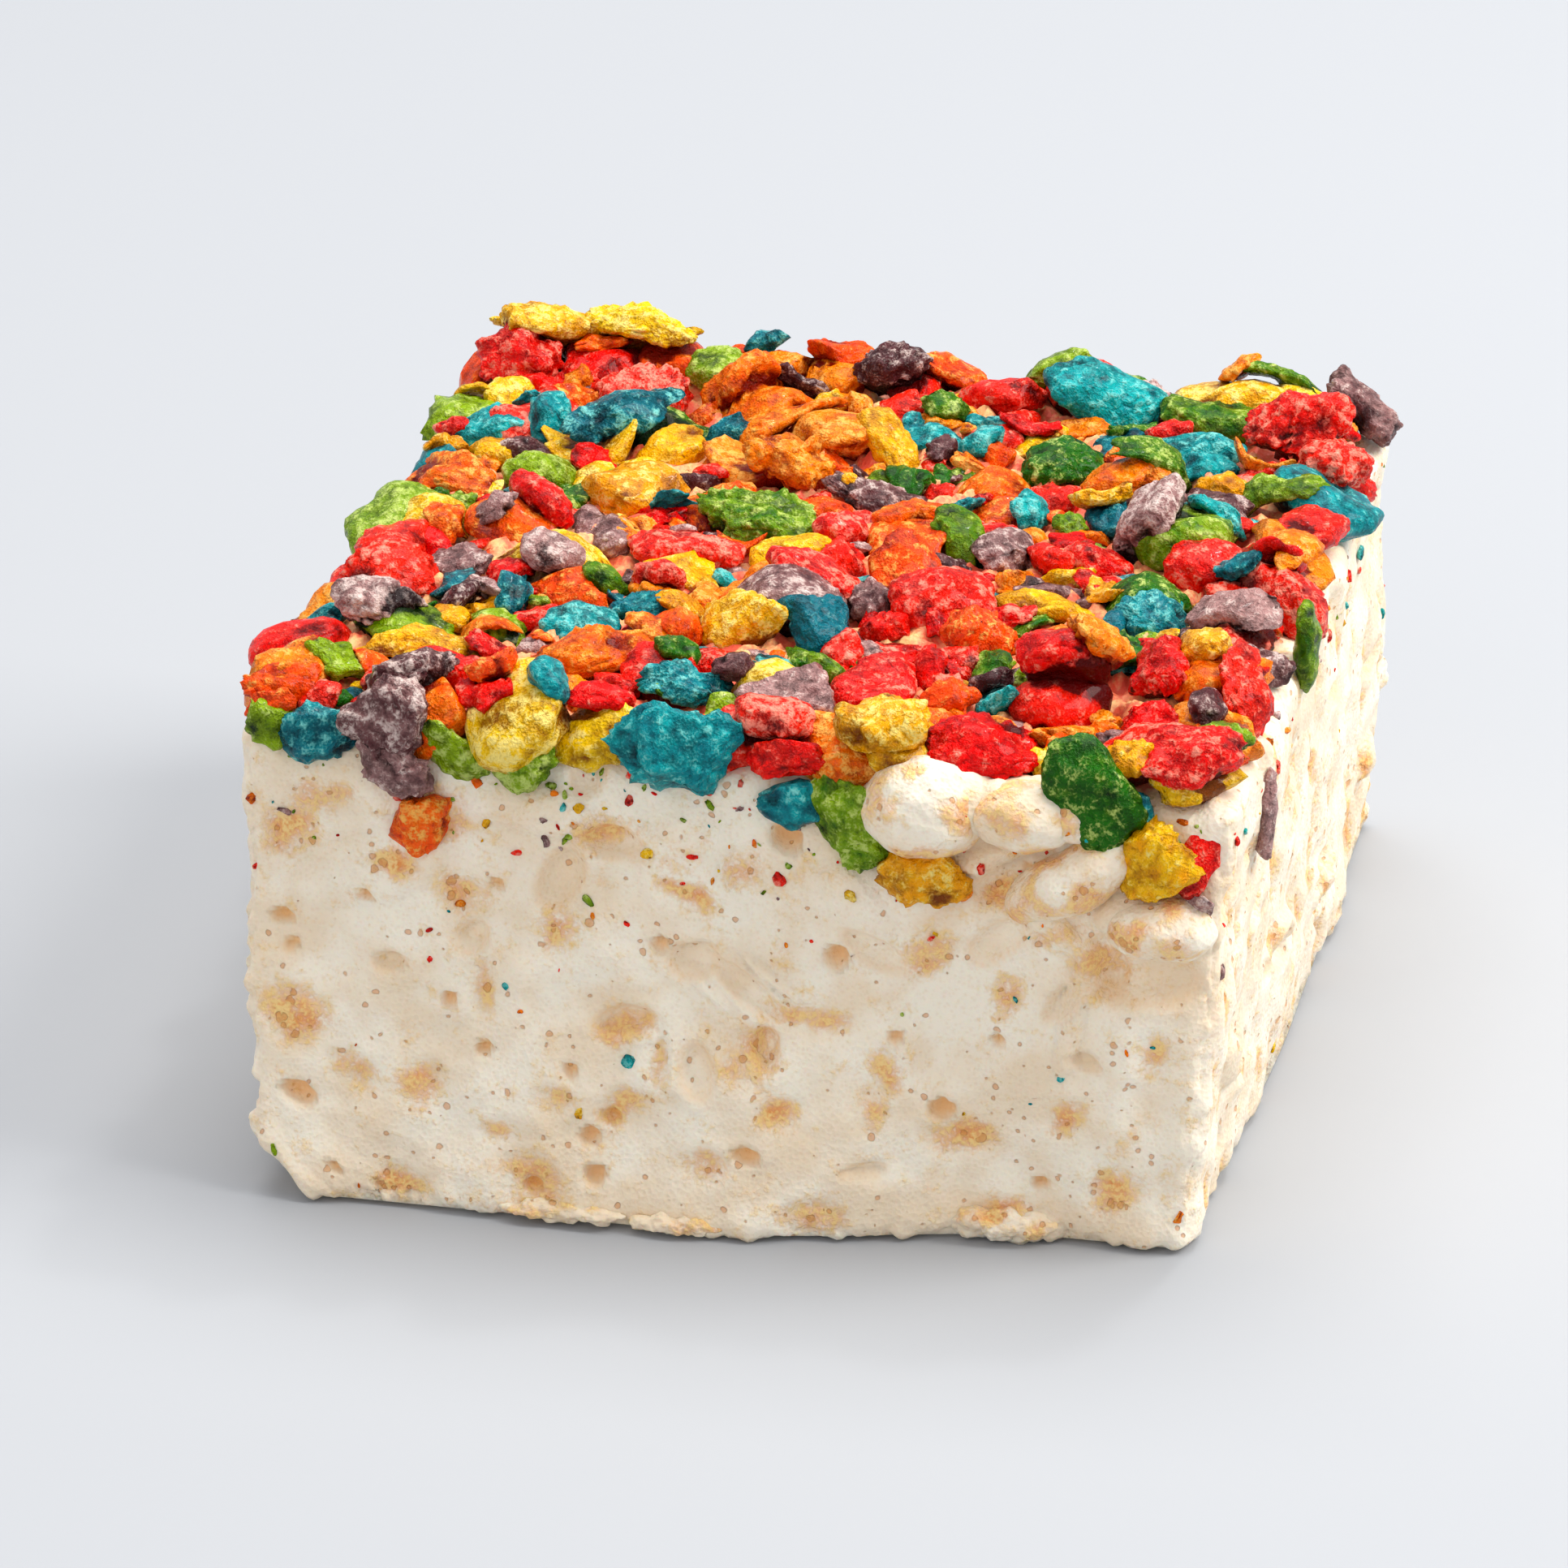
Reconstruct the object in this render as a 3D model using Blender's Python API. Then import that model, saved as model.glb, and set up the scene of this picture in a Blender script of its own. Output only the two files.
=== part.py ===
"""A cut block of marshmallow and puffed rice with coloured crisp cereal flakes pressed into its top.

The block, the folds of marshmallow smeared down its front corner and every flake are one piece of
food, so they are joined into one solid. The origin is under the middle of the block, on the surface
that it stands on, with +X along the cut front face and +Y towards the back.
"""

import collections
import math
import random

import bmesh
import bpy
import numpy as np
from mathutils import Matrix, Vector, noise

MM = 0.001

# The block, measured without its flakes
WIDTH = 80.5 * MM
DEPTH = 85.0 * MM
HEIGHT = 37.7 * MM
EDGE_RADIUS = 1.5 * MM
CENTRE_Y = 3.4 * MM

# How the soft block has sagged and been squeezed by the knife
FOOT_SWELL = 6.8 * MM
RIGHT_LEAN = 2.7 * MM
LEFT_LEAN = 1.8 * MM
CORNER_UNDERCUT = 4.5 * MM
CORNER_UNDERCUT_HEIGHT = 6.0 * MM
CEREAL_BED = 1.8 * MM
BED_RIM = 1.0 * MM
BED_FULL = 5.0 * MM
LUMP_HEIGHT = 0.9 * MM
LUMP_SPACING = 9.0 * MM
BLOCK_CELLS = (13, 13, 8)

FOLD_CUTS = {"u_segments": 8, "v_segments": 5}
# Marshmallow folds on the front face, in millimetres: across, up, length, height, thickness and turn
FOLDS = (
    (16.5, 36.6, 12, 6, 6, 4),
    (26, 36.8, 11, 4.5, 5, -8),
    (25.5, 32, 10.5, 4.5, 4, 38),
    (34, 28.6, 9, 5, 4, 0),
    (30.5, 33.5, 9, 5, 3.5, -30),
)

# Thin lips of marshmallow that the knife dragged out along the foot, as the folds are given
LIPS = (
    (-13, 1.2, 10, 1.4, 2.0, 0),
    (-3, 1.0, 7, 1.4, 1.8, 0),
    (24, 1.6, 9, 2.4, 2.6, 0),
)
LIP_CLEARANCE = 0.4 * MM

# Flakes that lie on top of the others, in millimetres: across, back, length, width and turn
LAID_FLAKES = {
    "red": (
        (-36, 35, 7, 6, 12), (-24, 30, 8, 7, 25), (-26, 1, 8, 5, -49), (-12, -5, 9, 5, 5),
        (-34, -17, 8, 7, 20), (-5, -27, 7, 4, 0), (0, -10, 8, 7, 30), (34, 30, 9, 7, 0),
        (38, 24, 6, 6, 30), (38, 10, 8, 5, 90), (36, 0, 8, 5, -70), (31, 0, 7, 6, 10),
        (11, -12, 8, 6, 20), (9, -29, 8, 6, 80), (24, -28, 7, 7, 60), (31, -24, 7, 5, 110),
        (38, -26, 8, 5, 100), (36, -40, 8, 6, 10), (20, -40, 9, 6, 15), (3, -40, 6, 5, 10),
    ),
    "orange": (
        (-15, 31, 7, 6, 45), (-10, 24, 11, 6, 30), (-36, 8, 10, 5, -22), (-7, 13, 8, 5, 0),
        (-13, 5, 6, 4, -75), (-15, -29, 11, 7, 25), (-37, -40, 6, 4, 20), (2, 40, 7, 5, 30),
        (5, 6, 8, 4, 50), (12, 10, 8, 4, 25), (38, 1, 8, 4, -80), (15, -18, 6, 6, 60),
        (22, -17, 10, 5, 0), (27, -28, 6, 5, 50), (-8, 40, 6, 4, 10),
    ),
    "yellow": (
        (-35, 40, 9, 5, 12), (-27, 40, 12, 5, -15), (-33, 14, 5, 4, -60), (-18, 17, 7, 5, 60),
        (-34, -2, 7, 4, 12), (-22, -8, 11, 5, -5), (-29, -30, 12, 4, 12), (-4, -20, 8, 6, -20),
        (-3, -4, 7, 5, 20), (0, 21, 7, 4, -50), (19, -10, 8, 4, 0), (34, -21, 5, 4, 100),
        (12, -41, 7, 6, 30),
    ),
    "green": (
        (-18, 36, 6, 5, 30), (-28, 10, 6, 6, 0), (-8, 3, 10, 7, -10), (-34, -35, 5, 4, 20),
        (11, 40, 6, 4, 20), (26, 34, 9, 5, -5), (32, 40, 9, 4, 0), (15, 21, 8, 6, 50),
        (24, 19, 9, 4, 25), (10, 2, 7, 4, -40), (34, 17, 8, 4, 12), (28, -7, 8, 5, 20),
    ),
    "teal": (
        (-35, 18, 7, 5, 20), (-29, 19, 5, 4, -70), (-23, 19, 11, 5, 45), (-17, -22, 6, 5, 15),
        (-13, -17, 6, 4, 20), (-5, -34, 8, 4, 0), (3, -20, 9, 6, -20), (3, 25, 6, 4, 0),
        (16, 35, 10, 6, -5), (25, 27, 9, 5, 5), (30, 9, 6, 5, -10), (28, -11, 6, 5, 30),
        (19, -30, 6, 4, -50), (-15, -40, 5, 4, 90),
    ),
    "purple": (
        (-11, 34, 6, 4, 20), (-20, -1, 8, 4, -60), (-30, -11, 6, 5, -60), (-33, -25, 7, 5, -5),
        (-27, -39, 7, 6, -20), (4, -35, 9, 7, -45), (1, 11, 9, 5, 15), (-3, 37, 7, 6, 0),
        (38, 39, 8, 6, -30), (25, 5, 8, 7, -10), (35, -12, 7, 6, -30), (14, 0, 6, 5, 40),
    ),
}

# Flakes stuck to the upright faces: face, across, up, length, width and turn
HUNG_FLAKES = {
    "red": (("front", 4.5, 39.5, 6, 3, 0), ("front", 37.5, 33.5, 5, 3, 70)),
    "orange": (("front", -25, 31.8, 5, 4, 60), ("front", -37, 40.0, 4, 3, 20)),
    "yellow": (("front", 16.0, 31.0, 7, 5, -10), ("front", 34, 34.0, 7, 6, 20)),
    "green": (
        ("front", 10, 35.0, 8, 5, -55), ("front", -22.5, 38, 6, 4, -60),
        ("front", -16.5, 38, 5, 5, 30), ("front", 28.5, 39, 9, 6, -55),
        ("front", -37, 39, 4, 4, 10), ("right", -11, 39, 4, 7, 0),
    ),
    "teal": (
        ("front", -4.5, 40, 10, 7, -8), ("front", 5, 36, 4, 5, 70),
        ("front", -33, 38.5, 6, 5, 5), ("front", 32, 37, 4, 3, 75),
    ),
    "purple": (
        ("front", -27, 40.5, 7, 6, 50), ("front", -27, 36.8, 7, 5, -20),
        ("front", 37.5, 29.5, 4, 2.5, 60), ("right", -28, 32, 3, 7, 0),
    ),
}

# Flakes laid by a rule: how many, and the shortest and longest
UNDER_LAYER = (56, 7.0 * MM, 10.0 * MM)
GAP_FILL = (48, 4.0 * MM, 6.0 * MM)
WIDTH_SHARE = (0.55, 0.85)
THICKNESS_SHARE = (0.5, 0.75)
COLOUR_SHARES = {"red": 25, "orange": 21, "yellow": 16, "green": 13, "teal": 11, "purple": 14}
SPOTS_TRIED = 14
SEED = 7

# How a flake beds into those below it
GRID_STEP = 0.5 * MM
RIM_INSET = 1.5 * MM
SUNK_SHARE = 0.25
RESTING_PERCENTILE = 60
MOST_SLOPE = 0.55
TILT_JITTER = 10
ROOT_DEPTH = 3.0 * MM
# A flake's two rings of points: how many, how high, and how wide as a share of the flake
RIM_RING = (6, 0.0, 1.0)
CROWN_RING = (3, 0.42, 0.62)
RAGGED_RIM = (0.82, 1.12)

Flake = collections.namedtuple("Flake", "colour centre turn size")


def clear_scene():
    for obj in list(bpy.data.objects):
        bpy.data.objects.remove(obj, do_unlink=True)


def ramp(value, start, end):
    """0 at start, 1 at end, and smooth between the two."""
    share = min(1.0, max(0.0, (value - start) / (end - start)))
    return share * share * (3 - 2 * share)


# The block


def sagged(point):
    """Where a point of the straight-sided block ends up once it has sagged on its base."""
    x, y, z = point
    low = 1 - z / HEIGHT
    to_front = ramp(-y, 0, DEPTH / 2)
    to_left = ramp(-x, -30 * MM, 2 * MM)
    to_right = ramp(x, 0, WIDTH / 2)
    corner = ramp(-x, 22 * MM, WIDTH / 2) * ramp(-y, 15 * MM, DEPTH / 2)
    y -= FOOT_SWELL * max(low, 0) ** 1.3 * to_front * (0.25 + 0.75 * to_left)
    x -= RIGHT_LEAN * low * to_right * (0.3 + 0.7 * to_front)
    x += LEFT_LEAN * low * ramp(-x, 0, WIDTH / 2) * ramp(-y, 0, DEPTH / 2)
    x += CORNER_UNDERCUT * corner * ramp(-z, -CORNER_UNDERCUT_HEIGHT, 0)
    return Vector((x, y + CENTRE_Y, z))


def bed_rise(x, y):
    """How far the small cereal packed under the flakes lifts the top, away from its cut rim."""
    from_rim = min(WIDTH / 2 - abs(x), DEPTH / 2 - abs(y))
    return CEREAL_BED * ramp(from_rim, BED_RIM, BED_FULL)


def block_point(corner):
    """A point of the cube from -1 to 1, moved to the block's lumpy, round-edged surface."""
    half = Vector((WIDTH, DEPTH, HEIGHT)) / 2
    flat = Vector(c * h for c, h in zip(corner, half))
    core = Vector(min(max(f, EDGE_RADIUS - h), h - EDGE_RADIUS) for f, h in zip(flat, half))
    outward = (flat - core).normalized()
    point = core + outward * EDGE_RADIUS + Vector((0, 0, half.z))
    if corner[2] > -1:
        lump = noise.noise(point / LUMP_SPACING) * LUMP_HEIGHT
        point += outward * lump
    if corner[2] == 1:
        point.z += bed_rise(flat.x, flat.y)
    point.z = max(point.z, 0)
    return sagged(point)


def block_mesh():
    """A cube cut into cells along each axis, then shaped, with one flat face underneath."""
    mesh = bmesh.new()
    bmesh.ops.create_cube(mesh, size=2)
    for axis, cells in enumerate(BLOCK_CELLS):
        along = [e for e in mesh.edges if abs(e.verts[0].co[axis] - e.verts[1].co[axis]) > 0.1]
        bmesh.ops.subdivide_edges(mesh, edges=along, cuts=cells - 1, use_grid_fill=True)
    for vertex in mesh.verts:
        vertex.co = block_point(vertex.co)
    base = [f for f in mesh.faces if all(v.co.z < 1e-6 for v in f.verts)]
    rim = {e for f in base for e in f.edges if not all(g in base for g in e.link_faces)}
    inner = [e for f in base for e in f.edges if e not in rim]
    bmesh.ops.dissolve_edges(mesh, edges=list(set(inner)), use_verts=False)
    bmesh.ops.triangulate(mesh, faces=mesh.faces)
    return mesh


def face_point(face, across, up):
    """The block's surface point on its front or right face, and that face's outward direction."""
    if face == "front":
        return sagged(Vector((across, -DEPTH / 2, up))), Vector((0, -1, 0))
    return sagged(Vector((WIDTH / 2, across, up))), Vector((1, 0, 0))


# The bed of flakes


def in_plane_turn(outward, along, degrees):
    """A rotation whose Z is outward and whose X is along, turned by degrees in that plane."""
    across = outward.cross(along).normalized()
    along = across.cross(outward)
    angle = math.radians(degrees)
    first = along * math.cos(angle) + across * math.sin(angle)
    return Matrix((first, outward.cross(first), outward)).transposed()


class Bed:
    """The height of what has been laid so far, over a grid that covers the block's top."""

    def __init__(self):
        reach_x, reach_y = WIDTH / 2 - RIM_INSET, DEPTH / 2 - RIM_INSET
        side_x = np.arange(-reach_x, reach_x, GRID_STEP)
        side_y = np.arange(-reach_y, reach_y, GRID_STEP) + CENTRE_Y
        self.x, self.y = np.meshgrid(side_x, side_y)
        from_rim = np.minimum(WIDTH / 2 - abs(self.x), DEPTH / 2 - abs(self.y - CENTRE_Y))
        self.height = HEIGHT + CEREAL_BED * np.clip(from_rim / BED_FULL, 0, 1)

    def footprint(self, x, y, length, width, degrees):
        """How far each grid point is from the flake's middle, as a share of its outline."""
        angle = math.radians(degrees)
        along = (self.x - x) * math.cos(angle) + (self.y - y) * math.sin(angle)
        across = (self.y - y) * math.cos(angle) - (self.x - x) * math.sin(angle)
        return np.hypot(along / (length / 2), across / (width / 2))

    def lay(self, colour, x, y, size, degrees, rng):
        """Beds a flake on what is below it, tilted as that is, and returns it."""
        share = self.footprint(x, y, size[0], size[1], degrees)
        under = share < 1
        offset_x, offset_y = self.x[under] - x, self.y[under] - y
        plane = np.column_stack((np.ones(under.sum()), offset_x, offset_y))
        slopes = np.linalg.lstsq(plane, self.height[under], rcond=None)[0][1:]
        slopes = np.clip(slopes, -MOST_SLOPE, MOST_SLOPE)
        tilted = offset_x * slopes[0] + offset_y * slopes[1]
        level = np.percentile(self.height[under] - tilted, RESTING_PERCENTILE)
        centre_z = level + (0.5 - SUNK_SHARE) * size[2]
        crown = centre_z + tilted + size[2] / 2 * np.sqrt(1 - share[under] ** 2)
        self.height[under] = np.maximum(self.height[under], crown)
        outward = Vector((-slopes[0], -slopes[1], 1)).normalized()
        jitter = [math.radians(rng.uniform(-TILT_JITTER, TILT_JITTER)) for _ in range(2)]
        outward.rotate(Matrix.Rotation(jitter[0], 3, "X") @ Matrix.Rotation(jitter[1], 3, "Y"))
        turn = in_plane_turn(outward, Vector((1, 0, 0)), degrees)
        return Flake(colour, Vector((x, y, centre_z)), turn, size)

    def lowest_spot(self, length, rng):
        """Of a few spots drawn at random, the one where least has been laid."""
        spots = []
        for _ in range(SPOTS_TRIED):
            x = rng.uniform(self.x.min(), self.x.max())
            y = rng.uniform(self.y.min(), self.y.max())
            near = self.footprint(x, y, length, length, 0) < 1
            spots.append((self.height[near].mean(), x, y))
        return min(spots)[1:]


def flake_size(length, width, rng):
    return Vector((length, width, min(length, width) * rng.uniform(*THICKNESS_SHARE)))


def scattered(bed, count, shortest, longest, rng):
    """Flakes of mixed colours and sizes, each in the lowest spot found for it."""
    colours, weights = zip(*COLOUR_SHARES.items())
    flakes = []
    for _ in range(count):
        length = rng.uniform(shortest, longest)
        x, y = bed.lowest_spot(length, rng)
        colour = rng.choices(colours, weights)[0]
        size = flake_size(length, length * rng.uniform(*WIDTH_SHARE), rng)
        flakes.append(bed.lay(colour, x, y, size, rng.uniform(0, 180), rng))
    return flakes


def laid_by_hand(bed, rng):
    flakes = []
    for colour, places in LAID_FLAKES.items():
        for x, y, length, width, degrees in places:
            size = flake_size(length * MM, width * MM, rng)
            flakes.append(bed.lay(colour, x * MM, y * MM + CENTRE_Y, size, degrees, rng))
    return flakes


def hung_on_faces(rng):
    """Flakes that stick to the front and right faces, just under the top's rim."""
    flakes = []
    for colour, places in HUNG_FLAKES.items():
        for face, across, up, length, width, degrees in places:
            point, outward = face_point(face, across * MM, up * MM)
            size = flake_size(length * MM, width * MM, rng)
            turn = in_plane_turn(outward, Vector((0, 0, 1)).cross(outward), degrees)
            centre = point + outward * size.z * (0.5 - SUNK_SHARE)
            flakes.append(Flake(colour, centre, turn, size))
    return flakes


def all_flakes():
    rng = random.Random(SEED)
    bed = Bed()
    under = scattered(bed, *UNDER_LAYER, rng)
    by_hand = laid_by_hand(bed, rng)
    gaps = scattered(bed, *GAP_FILL, rng)
    return under + by_hand + gaps + hung_on_faces(rng)


# Solids


def hull_object(name, points, collection):
    """The closed convex solid round some points, as a helper object."""
    mesh = bmesh.new()
    for point in points:
        mesh.verts.new(point)
    made = bmesh.ops.convex_hull(mesh, input=mesh.verts)
    inside = {v for v in made["geom_interior"] + made["geom_unused"] if isinstance(v, bmesh.types.BMVert)}
    bmesh.ops.delete(mesh, geom=list(inside), context="VERTS")
    bmesh.ops.recalc_face_normals(mesh, faces=mesh.faces)
    data = bpy.data.meshes.new(name)
    mesh.to_mesh(data)
    mesh.free()
    obj = bpy.data.objects.new(name, data)
    collection.objects.link(obj)
    return obj


def flake_points(flake, rng):
    """A ragged rim, a smaller crown, and a root that holds the flake to the block."""
    points = []
    for ring, height, share in (RIM_RING, CROWN_RING):
        start = rng.uniform(0, math.tau)
        for step in range(ring):
            angle = start + math.tau * step / ring
            reach = share * rng.uniform(*RAGGED_RIM) / 2
            local = (math.cos(angle) * reach, math.sin(angle) * reach, height)
            points.append(Vector(c * s for c, s in zip(local, flake.size)))
    placed = [flake.centre + flake.turn @ p for p in points]
    most_x, most_y = WIDTH / 2 - ROOT_DEPTH - RIGHT_LEAN, DEPTH / 2 - ROOT_DEPTH
    root = Vector((
        min(max(flake.centre.x, -most_x), most_x),
        min(max(flake.centre.y, CENTRE_Y - most_y), CENTRE_Y + most_y),
        min(flake.centre.z, HEIGHT - ROOT_DEPTH),
    ))
    return placed + [root]


def fold_points(fold):
    """A plump lobe of marshmallow on the front face."""
    across, up, length, height, thickness, degrees = fold
    centre, outward = face_point("front", across * MM, up * MM)
    turn = in_plane_turn(outward, Vector((0, 0, 1)).cross(outward), degrees)
    ball = bmesh.new()
    bmesh.ops.create_uvsphere(ball, radius=0.5, **FOLD_CUTS)
    size = Matrix.Diagonal(Vector((length, height, thickness)) * MM)
    points = [centre + turn @ (size @ v.co) for v in ball.verts]
    ball.free()
    for point in points:
        point.z = max(point.z, LIP_CLEARANCE)
    return points


def largest_shell(mesh):
    """Keeps the outer shell and drops any sealed hollow or loose scrap that the union left."""
    left = set(mesh.verts)
    shells = []
    while left:
        shell, waiting = set(), [left.pop()]
        while waiting:
            vertex = waiting.pop()
            shell.add(vertex)
            found = {e.other_vert(vertex) for e in vertex.link_edges} & left
            left -= found
            waiting.extend(found)
        shells.append(shell)
    shells.sort(key=len)
    scraps = [v for shell in shells[:-1] for v in shell]
    bmesh.ops.delete(mesh, geom=scraps, context="VERTS")


def food_material():
    material = bpy.data.materials.new("marshmallow_and_cereal")
    material.use_nodes = True
    shader = material.node_tree.nodes["Principled BSDF"]
    shader.inputs["Base Color"].default_value = (0.85, 0.76, 0.62, 1)
    shader.inputs["Roughness"].default_value = 0.6
    shader.inputs["Metallic"].default_value = 0.0
    return material


def build():
    clear_scene()
    data = bpy.data.meshes.new("crispy_treat")
    mesh = block_mesh()
    mesh.to_mesh(data)
    mesh.free()
    treat = bpy.data.objects.new("crispy_treat", data)
    bpy.context.scene.collection.objects.link(treat)

    stuck_on = bpy.data.collections.new("stuck_on")
    rng = random.Random(SEED)
    for flake in all_flakes():
        hull_object("flake", flake_points(flake, rng), stuck_on)
    for fold in FOLDS + LIPS:
        hull_object("fold", fold_points(fold), stuck_on)

    union = treat.modifiers.new("stuck_on", "BOOLEAN")
    union.operation = "UNION"
    union.operand_type = "COLLECTION"
    union.collection = stuck_on
    union.solver = "MANIFOLD"
    graph = bpy.context.evaluated_depsgraph_get()
    joined = bpy.data.meshes.new_from_object(treat.evaluated_get(graph))
    treat.modifiers.clear()
    for obj in list(stuck_on.objects):
        bpy.data.objects.remove(obj, do_unlink=True)
    bpy.data.collections.remove(stuck_on)

    mesh = bmesh.new()
    mesh.from_mesh(joined)
    largest_shell(mesh)
    mesh.to_mesh(joined)
    mesh.free()
    treat.data = joined
    joined.name = "crispy_treat"
    joined.materials.clear()
    joined.materials.append(food_material())
    lowest = np.min([v.co for v in joined.vertices], axis=0) / MM
    highest = np.max([v.co for v in joined.vertices], axis=0) / MM
    print("box in mm", lowest.round(2), highest.round(2), "faces", len(joined.polygons))


build()
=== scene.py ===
"""The looks of a cut marshmallow and puffed rice treat with coloured crisp cereal pressed into its top."""

import collections
import functools
import math
import random

import bmesh
import bpy
import numpy as np
from mathutils import Matrix, Vector, noise


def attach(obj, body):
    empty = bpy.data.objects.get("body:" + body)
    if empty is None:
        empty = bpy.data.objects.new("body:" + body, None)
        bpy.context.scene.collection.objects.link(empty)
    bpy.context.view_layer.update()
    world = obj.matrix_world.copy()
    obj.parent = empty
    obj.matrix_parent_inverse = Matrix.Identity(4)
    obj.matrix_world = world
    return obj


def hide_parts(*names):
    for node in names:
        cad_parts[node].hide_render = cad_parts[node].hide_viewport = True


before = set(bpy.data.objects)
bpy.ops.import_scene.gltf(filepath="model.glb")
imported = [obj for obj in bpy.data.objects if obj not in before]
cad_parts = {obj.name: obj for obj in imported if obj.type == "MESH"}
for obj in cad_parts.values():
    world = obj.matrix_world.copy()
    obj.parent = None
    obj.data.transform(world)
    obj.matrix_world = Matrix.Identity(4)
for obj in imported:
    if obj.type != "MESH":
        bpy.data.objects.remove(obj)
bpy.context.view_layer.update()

scene = bpy.context.scene
scene.view_settings.view_transform = "Standard"


# Camera. The photograph looks down on the front and right faces from about two thirds of a metre,
# through a long lens, with the block a little right of the frame's middle.

MM = 0.001
BLOCK_MIDDLE = Vector((0, 3.4, 18.85)) * MM
VIEW_AIM = Vector((-4.6, 2.5, 18.5)) * MM
VIEW_TURN = math.radians(11.6)
VIEW_RISE = math.radians(23.7)
VIEW_DISTANCE = 663 * MM
LENS = 180.8
SENSOR_WIDTH = 36

flat_reach = VIEW_DISTANCE * math.cos(VIEW_RISE)
camera = bpy.data.objects.new("camera", bpy.data.cameras.new("camera"))
camera.location = BLOCK_MIDDLE + Vector((
    flat_reach * math.sin(VIEW_TURN),
    -flat_reach * math.cos(VIEW_TURN),
    VIEW_DISTANCE * math.sin(VIEW_RISE),
))
camera.rotation_euler = (VIEW_AIM - camera.location).to_track_quat("-Z", "Y").to_euler()
camera.data.lens = LENS
camera.data.sensor_width = SENSOR_WIDTH
camera.data.clip_start = 0.01
scene.collection.objects.link(camera)
scene.camera = camera


# Studio. A pale sheet under and behind the food, large soft lights from the right, overhead and
# the front left, and a small weak one behind that picks out the glaze and the sugar.

FLOOR_SIDE = 6.0
PAPER_COLOUR = (0.410, 0.426, 0.452, 1)
PAPER_ROUGHNESS = 0.7
PAPER_SHEEN = 0.2
KEY_LIGHT = {"place": (0.67, 0.10, 0.69), "side": 0.50, "power": 8.0, "colour": (1.0, 0.97, 0.92)}
TOP_LIGHT = {"place": (-0.05, 0.35, 1.1), "side": 0.9, "power": 11.4, "colour": (1.0, 0.98, 0.95)}
FILL_LIGHT = {"place": (-0.35, -1.0, 0.55), "side": 0.9, "power": 2.2, "colour": (1.0, 0.95, 0.88)}
GLINT_LIGHT = {"place": (0.22, 0.42, 0.9), "side": 0.07, "power": 0.9, "colour": (1.0, 0.99, 0.97)}
SKY = (0.93, 0.95, 1.0, 1)
SKY_STRENGTH = 0.63

floor_mesh = bpy.data.meshes.new("floor")
half = FLOOR_SIDE / 2
corners = [(-half, -half, 0), (half, -half, 0), (half, half, 0), (-half, half, 0)]
floor_mesh.from_pydata(corners, [], [(0, 1, 2, 3)])
floor = bpy.data.objects.new("floor", floor_mesh)
scene.collection.objects.link(floor)

paper = bpy.data.materials.new("paper")
paper.use_nodes = True
paper_shader = paper.node_tree.nodes["Principled BSDF"]
paper_shader.inputs["Base Color"].default_value = PAPER_COLOUR
paper_shader.inputs["Roughness"].default_value = PAPER_ROUGHNESS
paper_shader.inputs["Specular IOR Level"].default_value = PAPER_SHEEN
floor_mesh.materials.append(paper)


def add_soft_light(name, place, side, power, colour):
    lamp = bpy.data.lights.new(name, "AREA")
    lamp.size = side
    lamp.energy = power
    lamp.color = colour
    light = bpy.data.objects.new(name, lamp)
    light.location = place
    light.rotation_euler = (BLOCK_MIDDLE - light.location).to_track_quat("-Z", "Y").to_euler()
    scene.collection.objects.link(light)


add_soft_light("key_light", **KEY_LIGHT)
add_soft_light("top_light", **TOP_LIGHT)
add_soft_light("fill_light", **FILL_LIGHT)
add_soft_light("glint_light", **GLINT_LIGHT)
world = bpy.data.worlds.new("studio")
world.use_nodes = True
world.node_tree.nodes["Background"].inputs["Color"].default_value = SKY
world.node_tree.nodes["Background"].inputs["Strength"].default_value = SKY_STRENGTH
scene.world = world


# The marshmallow block. Marshmallow cream stirred through puffed rice, set in a tray and cut with
# a knife, so its sides are smooth and pored, with tan grains showing, and its foot has sagged.

WIDTH = 80.5 * MM
DEPTH = 85.0 * MM
HEIGHT = 37.7 * MM
EDGE_RADIUS = 1.5 * MM
CENTRE_Y = 3.4 * MM
FOOT_SWELL = 6.8 * MM
RIGHT_LEAN = 2.7 * MM
LEFT_LEAN = 1.8 * MM
CORNER_UNDERCUT = 4.5 * MM
CORNER_UNDERCUT_HEIGHT = 6.0 * MM
# How far the cereal bed rises, where inside the rim it and its looks begin, and where the rise, the
# crusts and the glaze are full
CEREAL_BED = 1.8 * MM
BED_RIM = 1.0 * MM
BED_FULL = 5.0 * MM
CRUST_FULL = 3.0 * MM
GLAZE_FULL = 3.5 * MM
BLOCK_CELLS = (200, 140, 94)

# Relief as (height, spacing): the block's broad lumps, its finer unevenness, its torn edges, and the
# crusts of its top
LUMPS = (0.9 * MM, 9.0 * MM)
WAVES = (0.45 * MM, 3.4 * MM)
RIPPLES = (0.16 * MM, 1.4 * MM)
TORN = (1.3 * MM, 1.5 * MM)
BED_CRUSTS = (1.5 * MM, 2.2 * MM)
TORN_WIDTH = 2.2 * MM

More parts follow.
